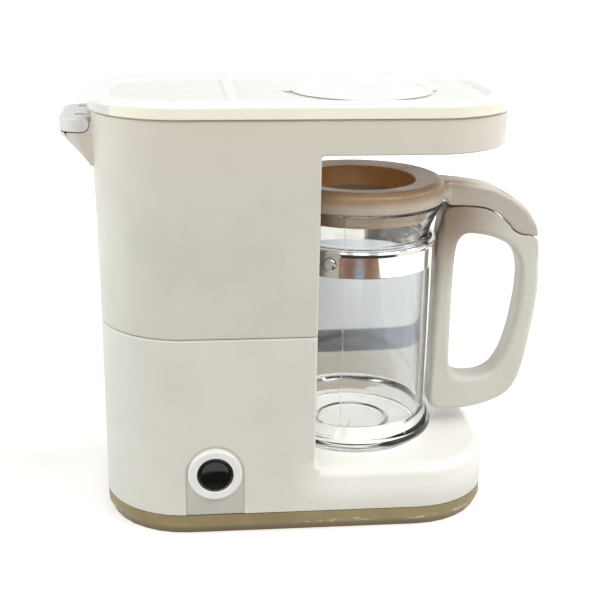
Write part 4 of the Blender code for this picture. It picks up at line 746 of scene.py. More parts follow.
def make_top_cover():
    wall = eased_wall(COVER_Z, TOP_Z, COVER_EDGE)
    cover = loft("cover_shell", [(footprint(inset - COVER_PROUD), height) for inset, height in wall])
    lip_inset = WAIST_INSET + TONGUE_INSET
    lip_z = COVER_Z - COVER_LIP_HEIGHT
    join(cover, loft("cover_lip", (
        (footprint(lip_inset), lip_z), (footprint(lip_inset), COVER_Z + COVER_EDGE),
    )))
    room = footprint(lip_inset + TONGUE_WALL)
    cut(cover, loft("cover_room", ((room, lip_z - OVERCUT), (room, COVER_UNDERSIDE_Z))))
    end = HOUSING_WIDTH / 2 - POCKET_END_MARGIN
    cut(cover, pocket("left_pocket", -end, RIB_X - RIB_WIDTH / 2, POCKET_RADIUS, POCKET_INNER_RADIUS))
    cut(cover, pocket("right_pocket", RIB_X + RIB_WIDTH / 2, end, POCKET_INNER_RADIUS, POCKET_RADIUS))
    cut(cover, rod("cap_hole", CAP_HOLE_RADIUS, COVER_Z - OVERCUT, TOP_Z + OVERCUT,
                   CARAFE_PLACE, TURNED_STEPS))
    return cover


def make_filter_cap():
    low = POCKET_Z + GAP
    high = low + CAP_FLANGE
    skirt = CAP_HOLE_RADIUS - GAP
    dished = CAP_RADIUS - CAP_RIM_WIDTH
    soft = CAP_DISH / 2
    cap = turned("cap_disc", (
        (0, low), (skirt - CAP_SKIRT_WALL, low), (skirt - CAP_SKIRT_WALL, low - CAP_SKIRT_DEPTH),
        (skirt, low - CAP_SKIRT_DEPTH), (skirt, low), (CAP_RADIUS, low), (CAP_RADIUS, high, CAP_DISH),
        (dished, high, soft), (dished - CAP_DISH, high - CAP_DISH, soft), (0, high - CAP_DISH),
    ), CARAFE_PLACE)
    lug_top = high - CAP_DISH / 2
    for side in (-1, 1):
        root = CARAFE_X + side * (CAP_RADIUS - 2 * CAP_DISH)
        tip = CARAFE_X + side * (CAP_RADIUS + CAP_LUG_LENGTH)
        half = CAP_LUG_WIDTH / 2
        outline = ((root, -half), (tip, -half, CAP_FLANGE), (tip, half, CAP_FLANGE), (root, half))
        join(cap, loft("cap_lug", ((outline, low), (outline, lug_top))))
    left = CARAFE_X - CAP_MARK_WIDTH / 2
    mark_y = dished - CAP_DISH - CAP_MARK_WIDTH
    join(cap, box("cap_mark", (left, mark_y - CAP_MARK_LENGTH, low + CAP_DISH / 2),
                  (left + CAP_MARK_WIDTH, mark_y, lug_top)))
    return cap


def make_switch_panel():
    panel = slot_form("panel_plate", PANEL_GAP, BASE_HEIGHT + GAP, PANEL_Y, PANEL_BACK_Y)
    join(panel, slot_form("panel_flange", -PANEL_FLANGE_MARGIN, LIP_Z + GAP,
                          PANEL_BACK_Y - PANEL_FLANGE, PANEL_BACK_Y))
    cut(panel, box("panel_foot_room",
                   (SWITCH_X - SLOT_WIDTH, PANEL_BACK_Y - PANEL_FLANGE - GAP, BASE_HEIGHT - OVERCUT),
                   (SWITCH_X + SLOT_WIDTH, PANEL_BACK_Y + OVERCUT, LIP_Z + GAP)))
    depth = PANEL_BACK_Y - PANEL_Y
    cut(panel, rod("barrel_hole", BARREL_BORE_RADIUS + BARREL_WALL + GAP, -depth - OVERCUT, OVERCUT,
                   SWITCH_PLACE, TURNED_STEPS))
    return panel


def make_switch_ring():
    barrel = BARREL_BORE_RADIUS + BARREL_WALL
    return turned("ring_bezel", (
        (BARREL_BORE_RADIUS, -BARREL_LENGTH), (barrel, -BARREL_LENGTH), (barrel, GAP), (RING_RADIUS, GAP),
        (RING_RADIUS, RING_PROUD, RING_ROUNDING),
        (BARREL_BORE_RADIUS, RING_PROUD, RING_ROUNDING * RING_INNER_SHARE),
    ), SWITCH_PLACE)


def make_button():
    radius = BARREL_BORE_RADIUS - RUNNING_GAP
    front = RING_PROUD - BUTTON_RECESS
    seat = -BARREL_LENGTH + BUTTON_TRAVEL
    shares = [1 - i / DISH_STEPS for i in range(DISH_STEPS)]
    bowl = [((radius - BUTTON_EDGE) * share, front - BUTTON_DISH * (1 - share ** 2)) for share in shares]
    return turned("button_face", (
        (0, seat), (radius, seat), (radius, front, BUTTON_EDGE), *bowl, (0, front - BUTTON_DISH),
    ), SWITCH_PLACE)


def make_glass():
    shoulder = FOOT_SHOULDER_HEIGHT
    body_top = BAND_Z + BAND_HEIGHT - GLASS_Z
    neck = NECK_Z - GLASS_Z
    rim = RIM_Z - GLASS_Z
    soft = GLASS_ROUNDING
    flare = [(NECK_RADIUS + (RIM_RADIUS - NECK_RADIUS) * out, neck + FLARE_HEIGHT * up, FLARE_ROUNDING)
             for out, up in FLARE_SHARES]
    inner_flare = [(radius - GLASS_WALL, height, corner) for radius, height, corner in reversed(flare)]
    bead = GLASS_WALL / 2
    outer = [
        (0, PUNT_RISE), (PUNT_RADIUS - PUNT_WIDTH, PUNT_RISE, PUNT_RISE),
        (PUNT_RADIUS, 2 * PUNT_RISE, PUNT_RISE),
        (PUNT_RADIUS + PUNT_WIDTH, PUNT_RISE, PUNT_RISE), (FOOT_CONTACT_RADIUS - PUNT_WIDTH, PUNT_RISE),
        (FOOT_CONTACT_RADIUS - PUNT_WIDTH / 2, 0), (FOOT_CONTACT_RADIUS, 0),
        (FOOT_RADIUS, FOOT_BEVEL, FOOT_BEVEL), (FOOT_RADIUS, FOOT_HEIGHT, soft),
        (BODY_RADIUS, shoulder, soft), (BODY_RADIUS, body_top, soft), (NECK_RADIUS, neck, soft), *flare,
        (RIM_RADIUS, rim, bead),
    ]
    inner = [
        (RIM_RADIUS - GLASS_WALL, rim, bead), *inner_flare,
        (NECK_RADIUS - GLASS_WALL, neck, soft), (BODY_RADIUS - GLASS_WALL, body_top - NECK_LENGTH, soft),
        (BODY_RADIUS - GLASS_WALL, shoulder), (BODY_RADIUS - GLASS_WALL, GLASS_FLOOR, FOOT_BEVEL),
        (PUNT_RADIUS + PUNT_WIDTH, GLASS_FLOOR, PUNT_RISE),
        (PUNT_RADIUS, GLASS_FLOOR + PUNT_RISE, PUNT_RISE),
        (PUNT_RADIUS - PUNT_WIDTH, GLASS_FLOOR, PUNT_RISE), (0, GLASS_FLOOR),
    ]
    return turned("jug_wall", outer + inner, Matrix.Translation((CARAFE_X, 0, GLASS_Z)))


def make_band():
    inner = BODY_RADIUS + GAP
    high = BAND_Z + BAND_HEIGHT
    band = turned("band_ring", (
        (inner, BAND_Z), (BAND_RADIUS, BAND_Z, BAND_EDGE),
        (BAND_RADIUS, high - BAND_LIP - 2 * BAND_EDGE, BAND_EDGE),
        (LIP_RADIUS, high - BAND_LIP, BAND_EDGE / 2), (LIP_RADIUS, high - BAND_EDGE, BAND_EDGE / 2),
        (BAND_RADIUS, high), (inner, high),
    ), CARAFE_PLACE)
    middle = BAND_Z + BAND_HEIGHT / 2
    tab_root = CARAFE_X + inner + BAND_THICKNESS / 2
    join(band, box("band_tab", (tab_root, -BAND_TAB_WIDTH / 2, middle - BAND_TAB_HEIGHT / 2),
                   (HANDLE_X + BAND_TAB_LENGTH, BAND_TAB_WIDTH / 2, middle + BAND_TAB_HEIGHT / 2)))
    cut(band, rod("tab_bore", SCREW_SHANK_RADIUS + GAP, TAB_BORE_START, BAND_TAB_LENGTH + OVERCUT,
                  Matrix.Translation((HANDLE_X, 0, middle)) @ FACING_RIGHT))
    return band


def make_rivet():
    face = BAND_RADIUS + GAP
    middle = BAND_Z + BAND_HEIGHT / 2
    place = (Matrix.Translation((CARAFE_X, 0, middle)) @ Matrix.Rotation(RIVET_ANGLE, 4, "Z")
             @ Matrix.Translation((face, 0, 0)) @ FACING_RIGHT)
    crown = [(RIVET_RADIUS * level, RIVET_HEIGHT * (RIVET_RIM_SHARE + (1 - RIVET_RIM_SHARE) * rise))
             for rise, level in quarter(CROWN_STEPS)[:-1]]
    return turned("rivet_head", ((0, 0), (RIVET_RADIUS, 0), *crown, (0, RIVET_HEIGHT)), place, SMALL_STEPS)


def between(a, b, c, d, t):
    bend = 2 * a - 5 * b + 4 * c - d
    return (2 * b + (c - a) * t + bend * t ** 2 + (3 * b - a - 3 * c + d) * t ** 3) / 2


def smooth_loop(shares, times):
    count = len(shares)
    finer = []
    for i in range(count):
        near = [Vector(shares[(i + k) % count]) for k in (-1, 0, 1, 2)]
        finer += [between(*near, step / times) for step in range(times)]
    return finer


def smooth_line(shares, times):
    """An open curve through a table, with that many points for each of its spans."""
    spots = [Vector(p) for p in shares]
    spots = [2 * spots[0] - spots[1]] + spots + [2 * spots[-1] - spots[-2]]
    finer = []
    for a, b, c, d in zip(spots, spots[1:], spots[2:], spots[3:]):
        finer += [between(a, b, c, d, step / times) for step in range(times)]
    return finer + [spots[-2]]


def handle_point(share):
    return HANDLE_X + share[0] * HANDLE_REACH, HANDLE_Z + share[1] * HANDLE_HEIGHT


def grip_section(inner, outer, half_width, inner_rounding, outer_rounding):
    near = Vector((inner[0], 0, inner[1]))
    far = Vector((outer[0], 0, outer[1]))
    along = (far - near).normalized()
    across = Vector((0, 1, 0))
    corners = (
        (near, along, 1, inner_rounding), (far, -along, 1, outer_rounding),
        (far, -along, -1, outer_rounding), (near, along, -1, inner_rounding),
    )
    points = []
    for number, (edge, inward, side, rounding) in enumerate(corners):
        centre = edge + inward * rounding + across * side * (half_width - rounding)
        turns = [math.pi / 2 * i / GRIP_STEPS for i in range(GRIP_STEPS + 1)]
        if number % 2:
            turns.reverse()
        for turn in turns:
            offset = across * side * math.sin(turn) - inward * math.cos(turn)
            points.append(centre + rounding * offset)
    return points


def seam_share(place):
    """How much of the handle's edge is drawn tight under the lid's arm at a place along its outline."""
    first, last = HANDLE_SEAM_STEPS
    rise = max(0.0, min(1.0, place - first + 1))
    fall = max(0.0, min(1.0, last + 1 - place))
    share = min(rise, fall)
    return share * share * (3 - 2 * share)


def make_handle():
    screw_z = BAND_Z + BAND_HEIGHT / 2
    outer = smooth_loop(HANDLE_OUTER_SHARES, CURVE_STEPS)
    hole = smooth_loop(HANDLE_HOLE_SHARES, CURVE_STEPS)
    sections = []
    for number, (far, near) in enumerate(zip(outer, hole)):
        tight = seam_share(number / CURVE_STEPS)
        rounding = GRIP_ROUNDING + (SEAM_ROUNDING - GRIP_ROUNDING) * tight
        sections.append(grip_section(handle_point(near), handle_point(far), HANDLE_WIDTH / 2,
                                     GRIP_ROUNDING, rounding))
    handle = sweep("handle_grip", sections, closed=True)
    half_width = BAND_TAB_WIDTH / 2 + GAP
    half_height = BAND_TAB_HEIGHT / 2 + GAP
    cut(handle, box("tab_slot", (HANDLE_X - OVERCUT, -half_width, screw_z - half_height),
                    (HANDLE_X + BAND_TAB_LENGTH + GAP, half_width, screw_z + half_height)))
    cut(handle, rod("handle_screw_hole", SCREW_SHANK_RADIUS + GAP, 0, HANDLE_REACH / 3,
                    Matrix.Translation((HANDLE_X, 0, screw_z)) @ FACING_RIGHT))
    face = min(handle_point(near)[0] for near in HANDLE_HOLE_SHARES)
    seat = face - SCREW_HEAD_HEIGHT - GAP
    cut(handle, rod("screw_head_room", SCREW_HEAD_RADIUS + GAP, seat - GAP, face + HANDLE_REACH / 4,
                    Matrix.Translation((0, 0, screw_z)) @ FACING_RIGHT))
    return handle


def make_lid():
    low = RIM_Z + GAP
    high = low + LID_HEIGHT
    skirt = NECK_RADIUS - GLASS_WALL + (RIM_RADIUS - NECK_RADIUS) * LID_HEM_SHARE - GAP
    hem = low - LID_HEM_DEPTH
    skirt_inner = skirt - LID_SKIRT_WALL
    collar = low - LID_COLLAR_DEPTH
    soft = LID_ROUNDING / 4
    lid = turned("lid_ring", (
        (LID_HOLE_RADIUS, collar), (LID_HOLE_RADIUS + LID_SKIRT_WALL, collar),
        (LID_HOLE_RADIUS + LID_SKIRT_WALL, low), (skirt_inner, low), (skirt_inner, hem), (skirt, hem),
        (skirt, low), (RIM_RADIUS, low, soft), (RIM_RADIUS, high + LID_LIP, LID_ROUNDING),
        (LID_HOLE_RADIUS, high, soft),
    ), CARAFE_PLACE)
    lower = smooth_line(ARM_LOWER_SHARES, CURVE_STEPS)
    upper = smooth_line(ARM_UPPER_SHARES, CURVE_STEPS)
    widths = smooth_line([(width, 0) for width in ARM_WIDTH_SHARES], CURVE_STEPS)
    sections = []
    for below, above, width in zip(lower, upper, widths):
        near = handle_point(below)
        far = handle_point(above)
        largest = math.dist(near, far) / 3
        sections.append(grip_section(near, far, width[0] * HANDLE_WIDTH / 2, min(SEAM_ROUNDING, largest),
                                     min(ARM_ROUNDING, largest)))
    join(lid, sweep("lid_arm", sections, closed=False))
    return lid


# Materials

def add_node(tree, kind, inputs=(), **settings):
    """A shader node with its settings, and each input set to a value or linked from a socket."""
    node = tree.nodes.new("ShaderNode" + kind)
    for name, value in settings.items():
        setattr(node, name, value)
    for key, value in dict(inputs).items():
        feed(tree, node.inputs[key], value)
    return node


def feed(tree, socket, value):
    if isinstance(value, bpy.types.NodeSocket):
        tree.links.new(value, socket)
    else:
        socket.default_value = value


def spread(tree, source, low, high, out_low=0.0, out_high=1.0):
    """A value mapped from one range to another, eased between them and held at the ends."""
    ranges = {"Value": source, "From Min": low, "From Max": high, "To Min": out_low, "To Max": out_high}
    return add_node(tree, "MapRange", ranges, interpolation_type="SMOOTHSTEP").outputs["Result"]


def calculate(tree, operation, *values):
    return add_node(tree, "Math", enumerate(values), operation=operation).outputs["Value"]


class Finish:
    """A material under construction: its node tree and its shader."""

    def __init__(self, name):
        self.made = bpy.data.materials.new(name)
        self.made.use_nodes = True
        self.tree = self.made.node_tree
        self.shader = self.tree.nodes["Principled BSDF"]
        self.place = add_node(self.tree, "TexCoord").outputs["Object"]

    def set(self, name, value):
        feed(self.tree, self.shader.inputs[name], value)

    def noise(self, scale, detail=3.0, rough=0.5, stretch=None):
        source = self.place
        if stretch:
            source = add_node(self.tree, "Mapping", {"Vector": source, "Scale": stretch}).outputs["Vector"]
        inputs = {"Vector": source, "Scale": scale, "Detail": detail, "Roughness": rough}
        return add_node(self.tree, "TexNoise", inputs).outputs["Fac"]

    def spread(self, *ranges):
        return spread(self.tree, *ranges)

    def axis(self, name):
        return add_node(self.tree, "SeparateXYZ", {"Vector": self.place}).outputs[name]

    def math(self, operation, *values):
        return calculate(self.tree, operation, *values)

    def times(self, first, second):
        return self.math("MULTIPLY", first, second)

    def distance(self, across, along):
        return self.math("SQRT", self.math("ADD", self.times(across, across), self.times(along, along)))

    def blend(self, share, first, second):
        """Two colours mixed by a share. Each is a tuple or a socket."""
        node = add_node(self.tree, "Mix", {"Factor": share}, data_type="RGBA")
        for key, value in (("A", first), ("B", second)):
            socket = [s for s in node.inputs if s.name == key and s.type == "RGBA"][0]
            feed(self.tree, socket, (*value, 1.0) if isinstance(value, tuple) else value)
        return [s for s in node.outputs if s.type == "RGBA"][0]

    def ground(self):
        """The colour that the shader has so far."""
        return self.shader.inputs["Base Color"].links[0].from_socket

    def colour(self, socket):
        self.set("Base Color", socket)

    def roughness(self, socket):
        self.set("Roughness", socket)

    def bump(self, height, strength, distance):
        inputs = {"Strength": strength, "Distance": distance, "Height": height}
        self.set("Normal", add_node(self.tree, "Bump", inputs).outputs["Normal"])


def moulded(name, light, dark, gloss, rough, grain=1800.0, grain_depth=0.00002, mottle=45.0):
    """Moulded plastic: faint mottling, uneven gloss and a fine orange-peel surface."""
    finish = Finish(name)
    patches = finish.spread(finish.noise(mottle, 4.0, 0.6), 0.35, 0.65)
    finish.colour(finish.blend(patches, dark, light))
    finish.roughness(finish.spread(finish.noise(mottle * 3, 5.0, 0.6), 0.3, 0.7, gloss, rough))
    finish.bump(finish.noise(grain, 2.0), 0.35, grain_depth)
    return finish


def shell_material():
    """Cream plastic: warmer under the cover; paler below the seam and along the platform as painted light,
    which turns darker towards the foot as painted shade.
    """
    finish = moulded("cream_shell", (0.702, 0.694, 0.620), (0.662, 0.655, 0.582), 0.30, 0.40)
    ground = finish.ground()
    height = finish.axis("Z")
    warm = finish.times(finish.spread(height, *WARM_HEIGHTS), 0.60)
    ground = finish.blend(warm, ground, (0.730, 0.670, 0.590))
    # Below the seam the cream is pushed paler: painted light from the floor.
    low = finish.times(finish.spread(height, *LOWER_LIGHT_HEIGHTS, 1.0, 0.0), 0.22)
    # Along the platform a painted pool of light, weaker towards the foot as painted shade.
    level = finish.spread(height, *PLATFORM_LIGHT_HEIGHTS, 0.25, 1.0)
    painted_light = finish.times(finish.spread(finish.axis("X"), *PLATFORM_LIGHT_SIDES), level)
    painted_light = finish.times(painted_light, finish.spread(height, *PLATFORM_LIGHT_TOPS, 1.0, 0.0))
    finish.colour(finish.blend(finish.math("MAXIMUM", painted_light, low), ground, (0.960, 0.952, 0.900)))
    return finish.made


def cover_material():
    """Glossy ivory: the sides yellowed, the raised faces white and the recessed fields greyer as painted
    shade, darker towards the left.
    """
    finish = moulded("ivory_cover", (0.965, 0.945, 0.810), (0.945, 0.922, 0.780), 0.16, 0.26, 900.0)
    finish.set("Specular IOR Level", 0.35)
    ground = finish.ground()
    height = finish.axis("Z")
    face = finish.spread(height, TOP_Z - COVER_EDGE, TOP_Z - COVER_EDGE / 4)
    inside = finish.times(finish.spread(height, POCKET_Z - GAP, POCKET_Z + CAP_DISH),
                          finish.spread(height, TOP_Z - COVER_EDGE, TOP_Z - COVER_EDGE / 2, 1.0, 0.0))
    away = finish.math("ABSOLUTE", finish.axis("Y"))
    half = HOUSING_DEPTH / 2 - POCKET_SIDE_MARGIN
    middle = finish.spread(away, half + POCKET_DRAFT, half + 2 * POCKET_DRAFT, 1.0, 0.0)
    # The recessed fields get a painted shade, darker towards the left.
    field_shade = finish.blend(finish.spread(finish.axis("X"), *FIELD_SHADE_SIDES), (0.760, 0.770, 0.745),
                         (0.865, 0.875, 0.870))
    ground = finish.blend(face, ground, (0.975, 0.970, 0.945))
    raised = finish.math("MAXIMUM", finish.times(inside, middle), face)
    sunk = finish.times(middle, finish.math("SUBTRACT", 1.0, raised))
    ground = finish.blend(sunk, ground, field_shade)
    finish.colour(finish.blend(raised, ground, (0.975, 0.970, 0.950)))
    return finish.made


def handle_material():
    """Cream plastic with a brown painted shade round the corner under the lid's arm."""
    finish = moulded("handle_cream", (0.735, 0.725, 0.655), (0.700, 0.690, 0.618), 0.30, 0.42)
    ground = finish.ground()
    across = finish.math("SUBTRACT", finish.axis("X"), SHADED_CORNER_X)
    down = finish.math("SUBTRACT", finish.axis("Z"), SHADED_CORNER_Z)
    away = finish.distance(finish.math("DIVIDE", across, SHADED_CORNER_WIDTH),
                           finish.math("DIVIDE", down, SHADED_CORNER_HEIGHT))
    uneven = finish.math("ADD", away, finish.times(finish.noise(60.0, 4.0, 0.6), 0.16))
    # Painted shade: the corner by the lid turns brown, a warm cast of shade.
    finish.colour(finish.blend(finish.spread(uneven, 0.20, 1.35, 1.0, 0.0), ground, (0.300, 0.212, 0.148)))
    return finish.made


def panel_material():
    finish = moulded("panel_grey", (0.700, 0.690, 0.625), (0.665, 0.655, 0.590), 0.32, 0.42)
    ground = finish.ground()
    share = finish.spread(finish.axis("Z"), BASE_HEIGHT, SWITCH_Z, 1.0, 0.0)
    finish.colour(finish.blend(share, ground, (0.545, 0.545, 0.490)))
    return finish.made


CREAM = shell_material()
IVORY = cover_material()
HANDLE_CREAM = handle_material()
WHITE = moulded("white_bezel", (0.880, 0.880, 0.865), (0.840, 0.840, 0.820), 0.16, 0.26).made
BLACK = moulded("black_button", (0.0060, 0.0060, 0.0062), (0.0045, 0.0045, 0.0048), 0.08, 0.18, 600.0).made
PANEL = panel_material()
DARK = moulded("dark_body", (0.032, 0.032, 0.040), (0.024, 0.024, 0.030), 0.45, 0.6).made
HOSE = moulded("hose_skin", (0.690, 0.740, 0.740), (0.640, 0.690, 0.690), 0.30, 0.45).made
WRAP = moulded("cell_wrap", (0.090, 0.120, 0.155), (0.075, 0.100, 0.130), 0.22, 0.34).made


def olive_material():
    """Matt olive plastic, scuffed along its lower edge and darker at its very bottom as painted shade."""
    finish = Finish("olive_base")
    patches = finish.spread(finish.noise(60.0, 5.0, 0.65), 0.35, 0.65)
    ground = finish.blend(patches, (0.262, 0.200, 0.092), (0.318, 0.262, 0.130))
    height = finish.axis("Z")
    # Painted shade at the foot, where the base meets the floor.
    ground = finish.blend(finish.spread(height, *FOOT_SHADE_HEIGHTS, 0.75, 0.0), ground, (0.150, 0.108, 0.055))
    flecks = finish.spread(finish.noise(1500.0, 3.0, 0.7), 0.60, 0.72)
    flecked = finish.blend(finish.times(flecks, 0.25), ground, (0.46, 0.41, 0.30))
    band = finish.times(finish.spread(height, *SCUFF_STARTS), finish.spread(height, *SCUFF_ENDS, 1.0, 0.0))
    worn = finish.spread(finish.noise(420.0, 5.0, 0.75, (0.55, 0.55, 2.6)), 0.52, 0.60)
    where = finish.spread(finish.noise(28.0, 2.0, 0.5), 0.46, 0.56)
    scuff = finish.times(finish.times(worn, where), band)
    finish.colour(finish.blend(finish.times(scuff, 0.85), flecked, (0.66, 0.63, 0.55)))
    finish.roughness(finish.spread(finish.noise(240.0, 5.0, 0.6), 0.3, 0.7, 0.38, 0.58))
    finish.bump(finish.noise(1500.0, 3.0), 0.4, 0.00004)
    return finish.made


def metal_material(name, tint, low, high, brushed):
    finish = Finish(name)
    stretch = (1.0, 1.0, 14.0) if brushed else None
    smudge = finish.spread(finish.noise(220.0, 5.0, 0.65, stretch), 0.35, 0.7)
    darker = tuple(channel * 0.86 for channel in tint)
    finish.colour(finish.blend(smudge, tint, darker))
    finish.roughness(finish.spread(smudge, 0.0, 1.0, low, high))
    finish.set("Metallic", 1.0)
    finish.bump(finish.noise(700.0, 2.0), 0.15, 0.00002)
    return finish.made


CHROME = metal_material("chrome_plate", (0.72, 0.70, 0.68), 0.05, 0.13, False)
STEEL = metal_material("steel_part", (0.43, 0.44, 0.46), 0.22, 0.36, True)
OLIVE = olive_material()


def clear_material(name, tint, seam):
    """Clear moulded plastic. With seam on, thin mould lines run down the jug's sides."""
    finish = Finish(name)
    finish.set("IOR", 1.47)
    finish.set("Transmission Weight", 1.0)
    patches = finish.spread(finish.noise(40.0, 3.0), 0.3, 0.7)
    finish.colour(finish.blend(patches, tint, tuple(channel * 0.985 for channel in tint)))
    finish.roughness(finish.spread(finish.noise(260.0, 5.0, 0.65), 0.35, 0.75, 0.012, 0.05))
    ripple = finish.noise(90.0, 2.0, 0.5, (1.0, 1.0, 0.5))
    if seam:
        across = finish.math("SUBTRACT", finish.axis("X"), CARAFE_X)
        turn = finish.math("ARCTAN2", finish.axis("Y"), across)
        away = finish.math("ABSOLUTE", finish.math("ADD", turn, JUG_SEAM_ANGLE))
        line = finish.spread(away, 0.0, JUG_SEAM_WIDTH, 1.0, 0.0)
        ripple = finish.math("ADD", ripple, finish.times(line, JUG_SEAM_HEIGHT))
    finish.bump(ripple, 0.5, 0.00008)
    return finish.made


CLEAR = clear_material("clear_jug", (0.965, 0.975, 0.970), True)
CLEAR_INNER = clear_material("clear_tank", (0.93, 0.95, 0.95), False)


def lid_material():
    """Cream plastic, painted brown in the jug's lid as warm painted shade under the overhang, fading to
    plain cream along the arm beyond it.
    """
    finish = Finish("lid_cream")
    along = finish.axis("X")
    height = finish.axis("Z")
    away = finish.distance(finish.math("SUBTRACT", along, CARAFE_X), finish.axis("Y"))
    cloud = finish.times(finish.noise(70.0, 4.0, 0.6), 0.010)
    fade = finish.math("ADD", along, cloud)
    # The brown is painted shade under the overhang, with a warm cast.
    brown = finish.blend(finish.spread(finish.noise(55.0, 4.0, 0.6), 0.35, 0.65), (0.325, 0.205, 0.110),
                         (0.380, 0.255, 0.150))
    ground = finish.blend(finish.spread(fade, *ARM_SHADE_FADE_SIDES), brown, (0.500, 0.430, 0.330))
    ground = finish.blend(finish.spread(fade, *ARM_SHADE_END_SIDES), ground, (0.830, 0.805, 0.735))
    # Painted shade: the hole's inner wall turns a deep orange-brown.
    wall = finish.spread(away, *LID_HOLE_SHADE, 1.0, 0.0)
    ground = finish.blend(wall, ground, (0.520, 0.250, 0.085))
    low = finish.spread(height, *LID_LOW_HEIGHTS, 1.0, 0.0)
    skin = finish.times(low, finish.spread(away, *LID_SKIN))
    greyed = finish.times(skin, finish.spread(along, *LID_GREY_SIDES, 0.25, 0.85))
    finish.colour(finish.blend(greyed, ground, (0.520, 0.470, 0.410)))
    finish.roughness(finish.spread(finish.noise(140.0, 5.0, 0.6), 0.3, 0.7, 0.26, 0.38))
    finish.bump(finish.noise(1800.0, 2.0), 0.35, 0.00002)
    return finish.made


LID_CREAM = lid_material()


# Pieces

dress(make_lower_housing(), CREAM, "cream_plastic", "housing", "lower_housing")
dress(make_upper_housing(), CREAM, "cream_plastic", "housing", "upper_housing")
dress(make_top_cover(), IVORY, "ivory_gloss", "housing", "top_cover")
dress(make_filter_cap(), IVORY, "ivory_gloss", "filter_cap", "filter_cap")
dress(make_filler_lid(), IVORY, "ivory_gloss", "filler_lid", "filler_lid")
dress(make_switch_panel(), PANEL, "cream_plastic", "housing", "switch_panel")
dress(make_switch_ring(), WHITE, "white_gloss", "housing", "switch_ring")
dress(make_button(), BLACK, "black_gloss", "button", "button_cap")
jug = dress(make_glass(), CLEAR, "clear_plastic", "carafe", "carafe_glass")
jug.visible_shadow = False
dress(make_band(), CHROME, "chrome", "carafe", "carafe_band")
dress(make_rivet(), CHROME, "chrome", "carafe", "band_rivet")
dress(make_handle(), HANDLE_CREAM, "cream_plastic", "carafe", "carafe_handle")
dress(make_lid(), LID_CREAM, "cream_plastic", "carafe_lid", "carafe_lid")

for finish, names in (
    (OLIVE, ("base_plate", "battery_door")),
    (STEEL, ("battery_door_screw", "base_screw_1", "base_screw_2", "base_screw_3", "base_screw_4",
             "contact_left", "contact_right", "filler_pin", "switch_nut", "pump_motor", "handle_screw")),
    (WRAP, ("battery_1", "battery_2")),
    (WHITE, ("filter_basket", "pump_head")),
    (DARK, ("switch_body",)),
    (HOSE, ("inlet_hose", "water_tube")),
    (CLEAR_INNER, ("water_tank",)),
):
    for name in names:
        for holder in nodes[name].material_slots:
            holder.material = finish


# Floor, backdrop and light

def seen_rays(tree):
    """1 for camera, glossy and transmission rays, 0 for the rest."""
    path = add_node(tree, "LightPath").outputs
    first = calculate(tree, "MAXIMUM", path["Is Camera Ray"], path["Is Glossy Ray"])
    return calculate(tree, "MAXIMUM", first, path["Is Transmission Ray"])


def floor_material():
    """A white floor that shows the object's shadow and is white to the camera where it is lit."""
    made = bpy.data.materials.new("floor")
    made.use_nodes = True
    tree = made.node_tree
    tree.nodes.clear()
    place = add_node(tree, "TexCoord").outputs["Object"]
    away = add_node(tree, "VectorMath", {0: place}, operation="LENGTH").outputs["Value"]
    grown = spread(tree, away, *GLOW_RADII, NEAR_GLOW, FAR_GLOW)
    strength = calculate(tree, "MULTIPLY", seen_rays(tree), grown)
    matt = add_node(tree, "BsdfDiffuse", {"Color": FLOOR_COLOUR}).outputs["BSDF"]
    glow = add_node(tree, "Emission", {"Color": WHITE_LIGHT, "Strength": strength}).outputs["Emission"]
    both = add_node(tree, "AddShader", {0: matt, 1: glow}).outputs["Shader"]
    add_node(tree, "OutputMaterial", {"Surface": both})
    return made


def flat_panel(name, low, high, height, finish):
    bm = bmesh.new()
    corners = ((low[0], low[1]), (high[0], low[1]), (high[0], high[1]), (low[0], high[1]))
    bm.faces.new([bm.verts.new((*corner, height)) for corner in corners])
    made = new_object(name, bm)
    made.data.materials.append(finish)
    return made


def make_floor():
    flat_panel("floor", (-FLOOR_HALF, -FLOOR_HALF), (FLOOR_HALF, FLOOR_HALF), 0, floor_material())


def card_material(name):
    """A self-lit card, whose colour its caller makes up from places on it."""
    finish = Finish(name)
    finish.tree.nodes.remove(finish.shader)
    finish.shader = add_node(finish.tree, "Emission")
    out = [node for node in finish.tree.nodes if node.type == "OUTPUT_MATERIAL"][0]
    feed(finish.tree, out.inputs["Surface"], finish.shader.outputs["Emission"])
    return finish


def lay_card(name, corners, finish, rays):
    """A level card over the floor that only one kind of ray meets."""
    card = flat_panel(name, *corners, CARD_HEIGHT, finish)
    for kind in ("camera", "diffuse", "glossy", "transmission", "shadow", "volume_scatter"):
        setattr(card, "visible_" + kind, kind == rays)


def make_backdrop_card():
    """What the jug shows behind it: a beige table, its dark far edge and a grey wall."""
    finish = card_material("backdrop_card")
    depth = finish.axis("Y")
    right = finish.spread(finish.axis("X"), *BACKDROP_SIDES)
    table = finish.blend(right, (0.440, 0.400, 0.340), (0.640, 0.620, 0.590))
    edge = finish.blend(right, (0.078, 0.078, 0.082), (0.260, 0.300, 0.350))
    wall = finish.blend(right, (0.500, 0.510, 0.510), (0.680, 0.700, 0.720))
    ground = finish.blend(finish.spread(depth, TABLE_END - TABLE_BLUR, TABLE_END + TABLE_BLUR), table, edge)
    ground = finish.blend(finish.spread(depth, WALL_START - WALL_BLUR, WALL_START + WALL_BLUR), ground, wall)
    finish.set("Color", finish.blend(finish.spread(depth, *BACKDROP_FADE), ground, (1.0, 1.0, 1.0)))
    lay_card("backdrop_card", BACKDROP_CORNERS, finish.made, "transmission")


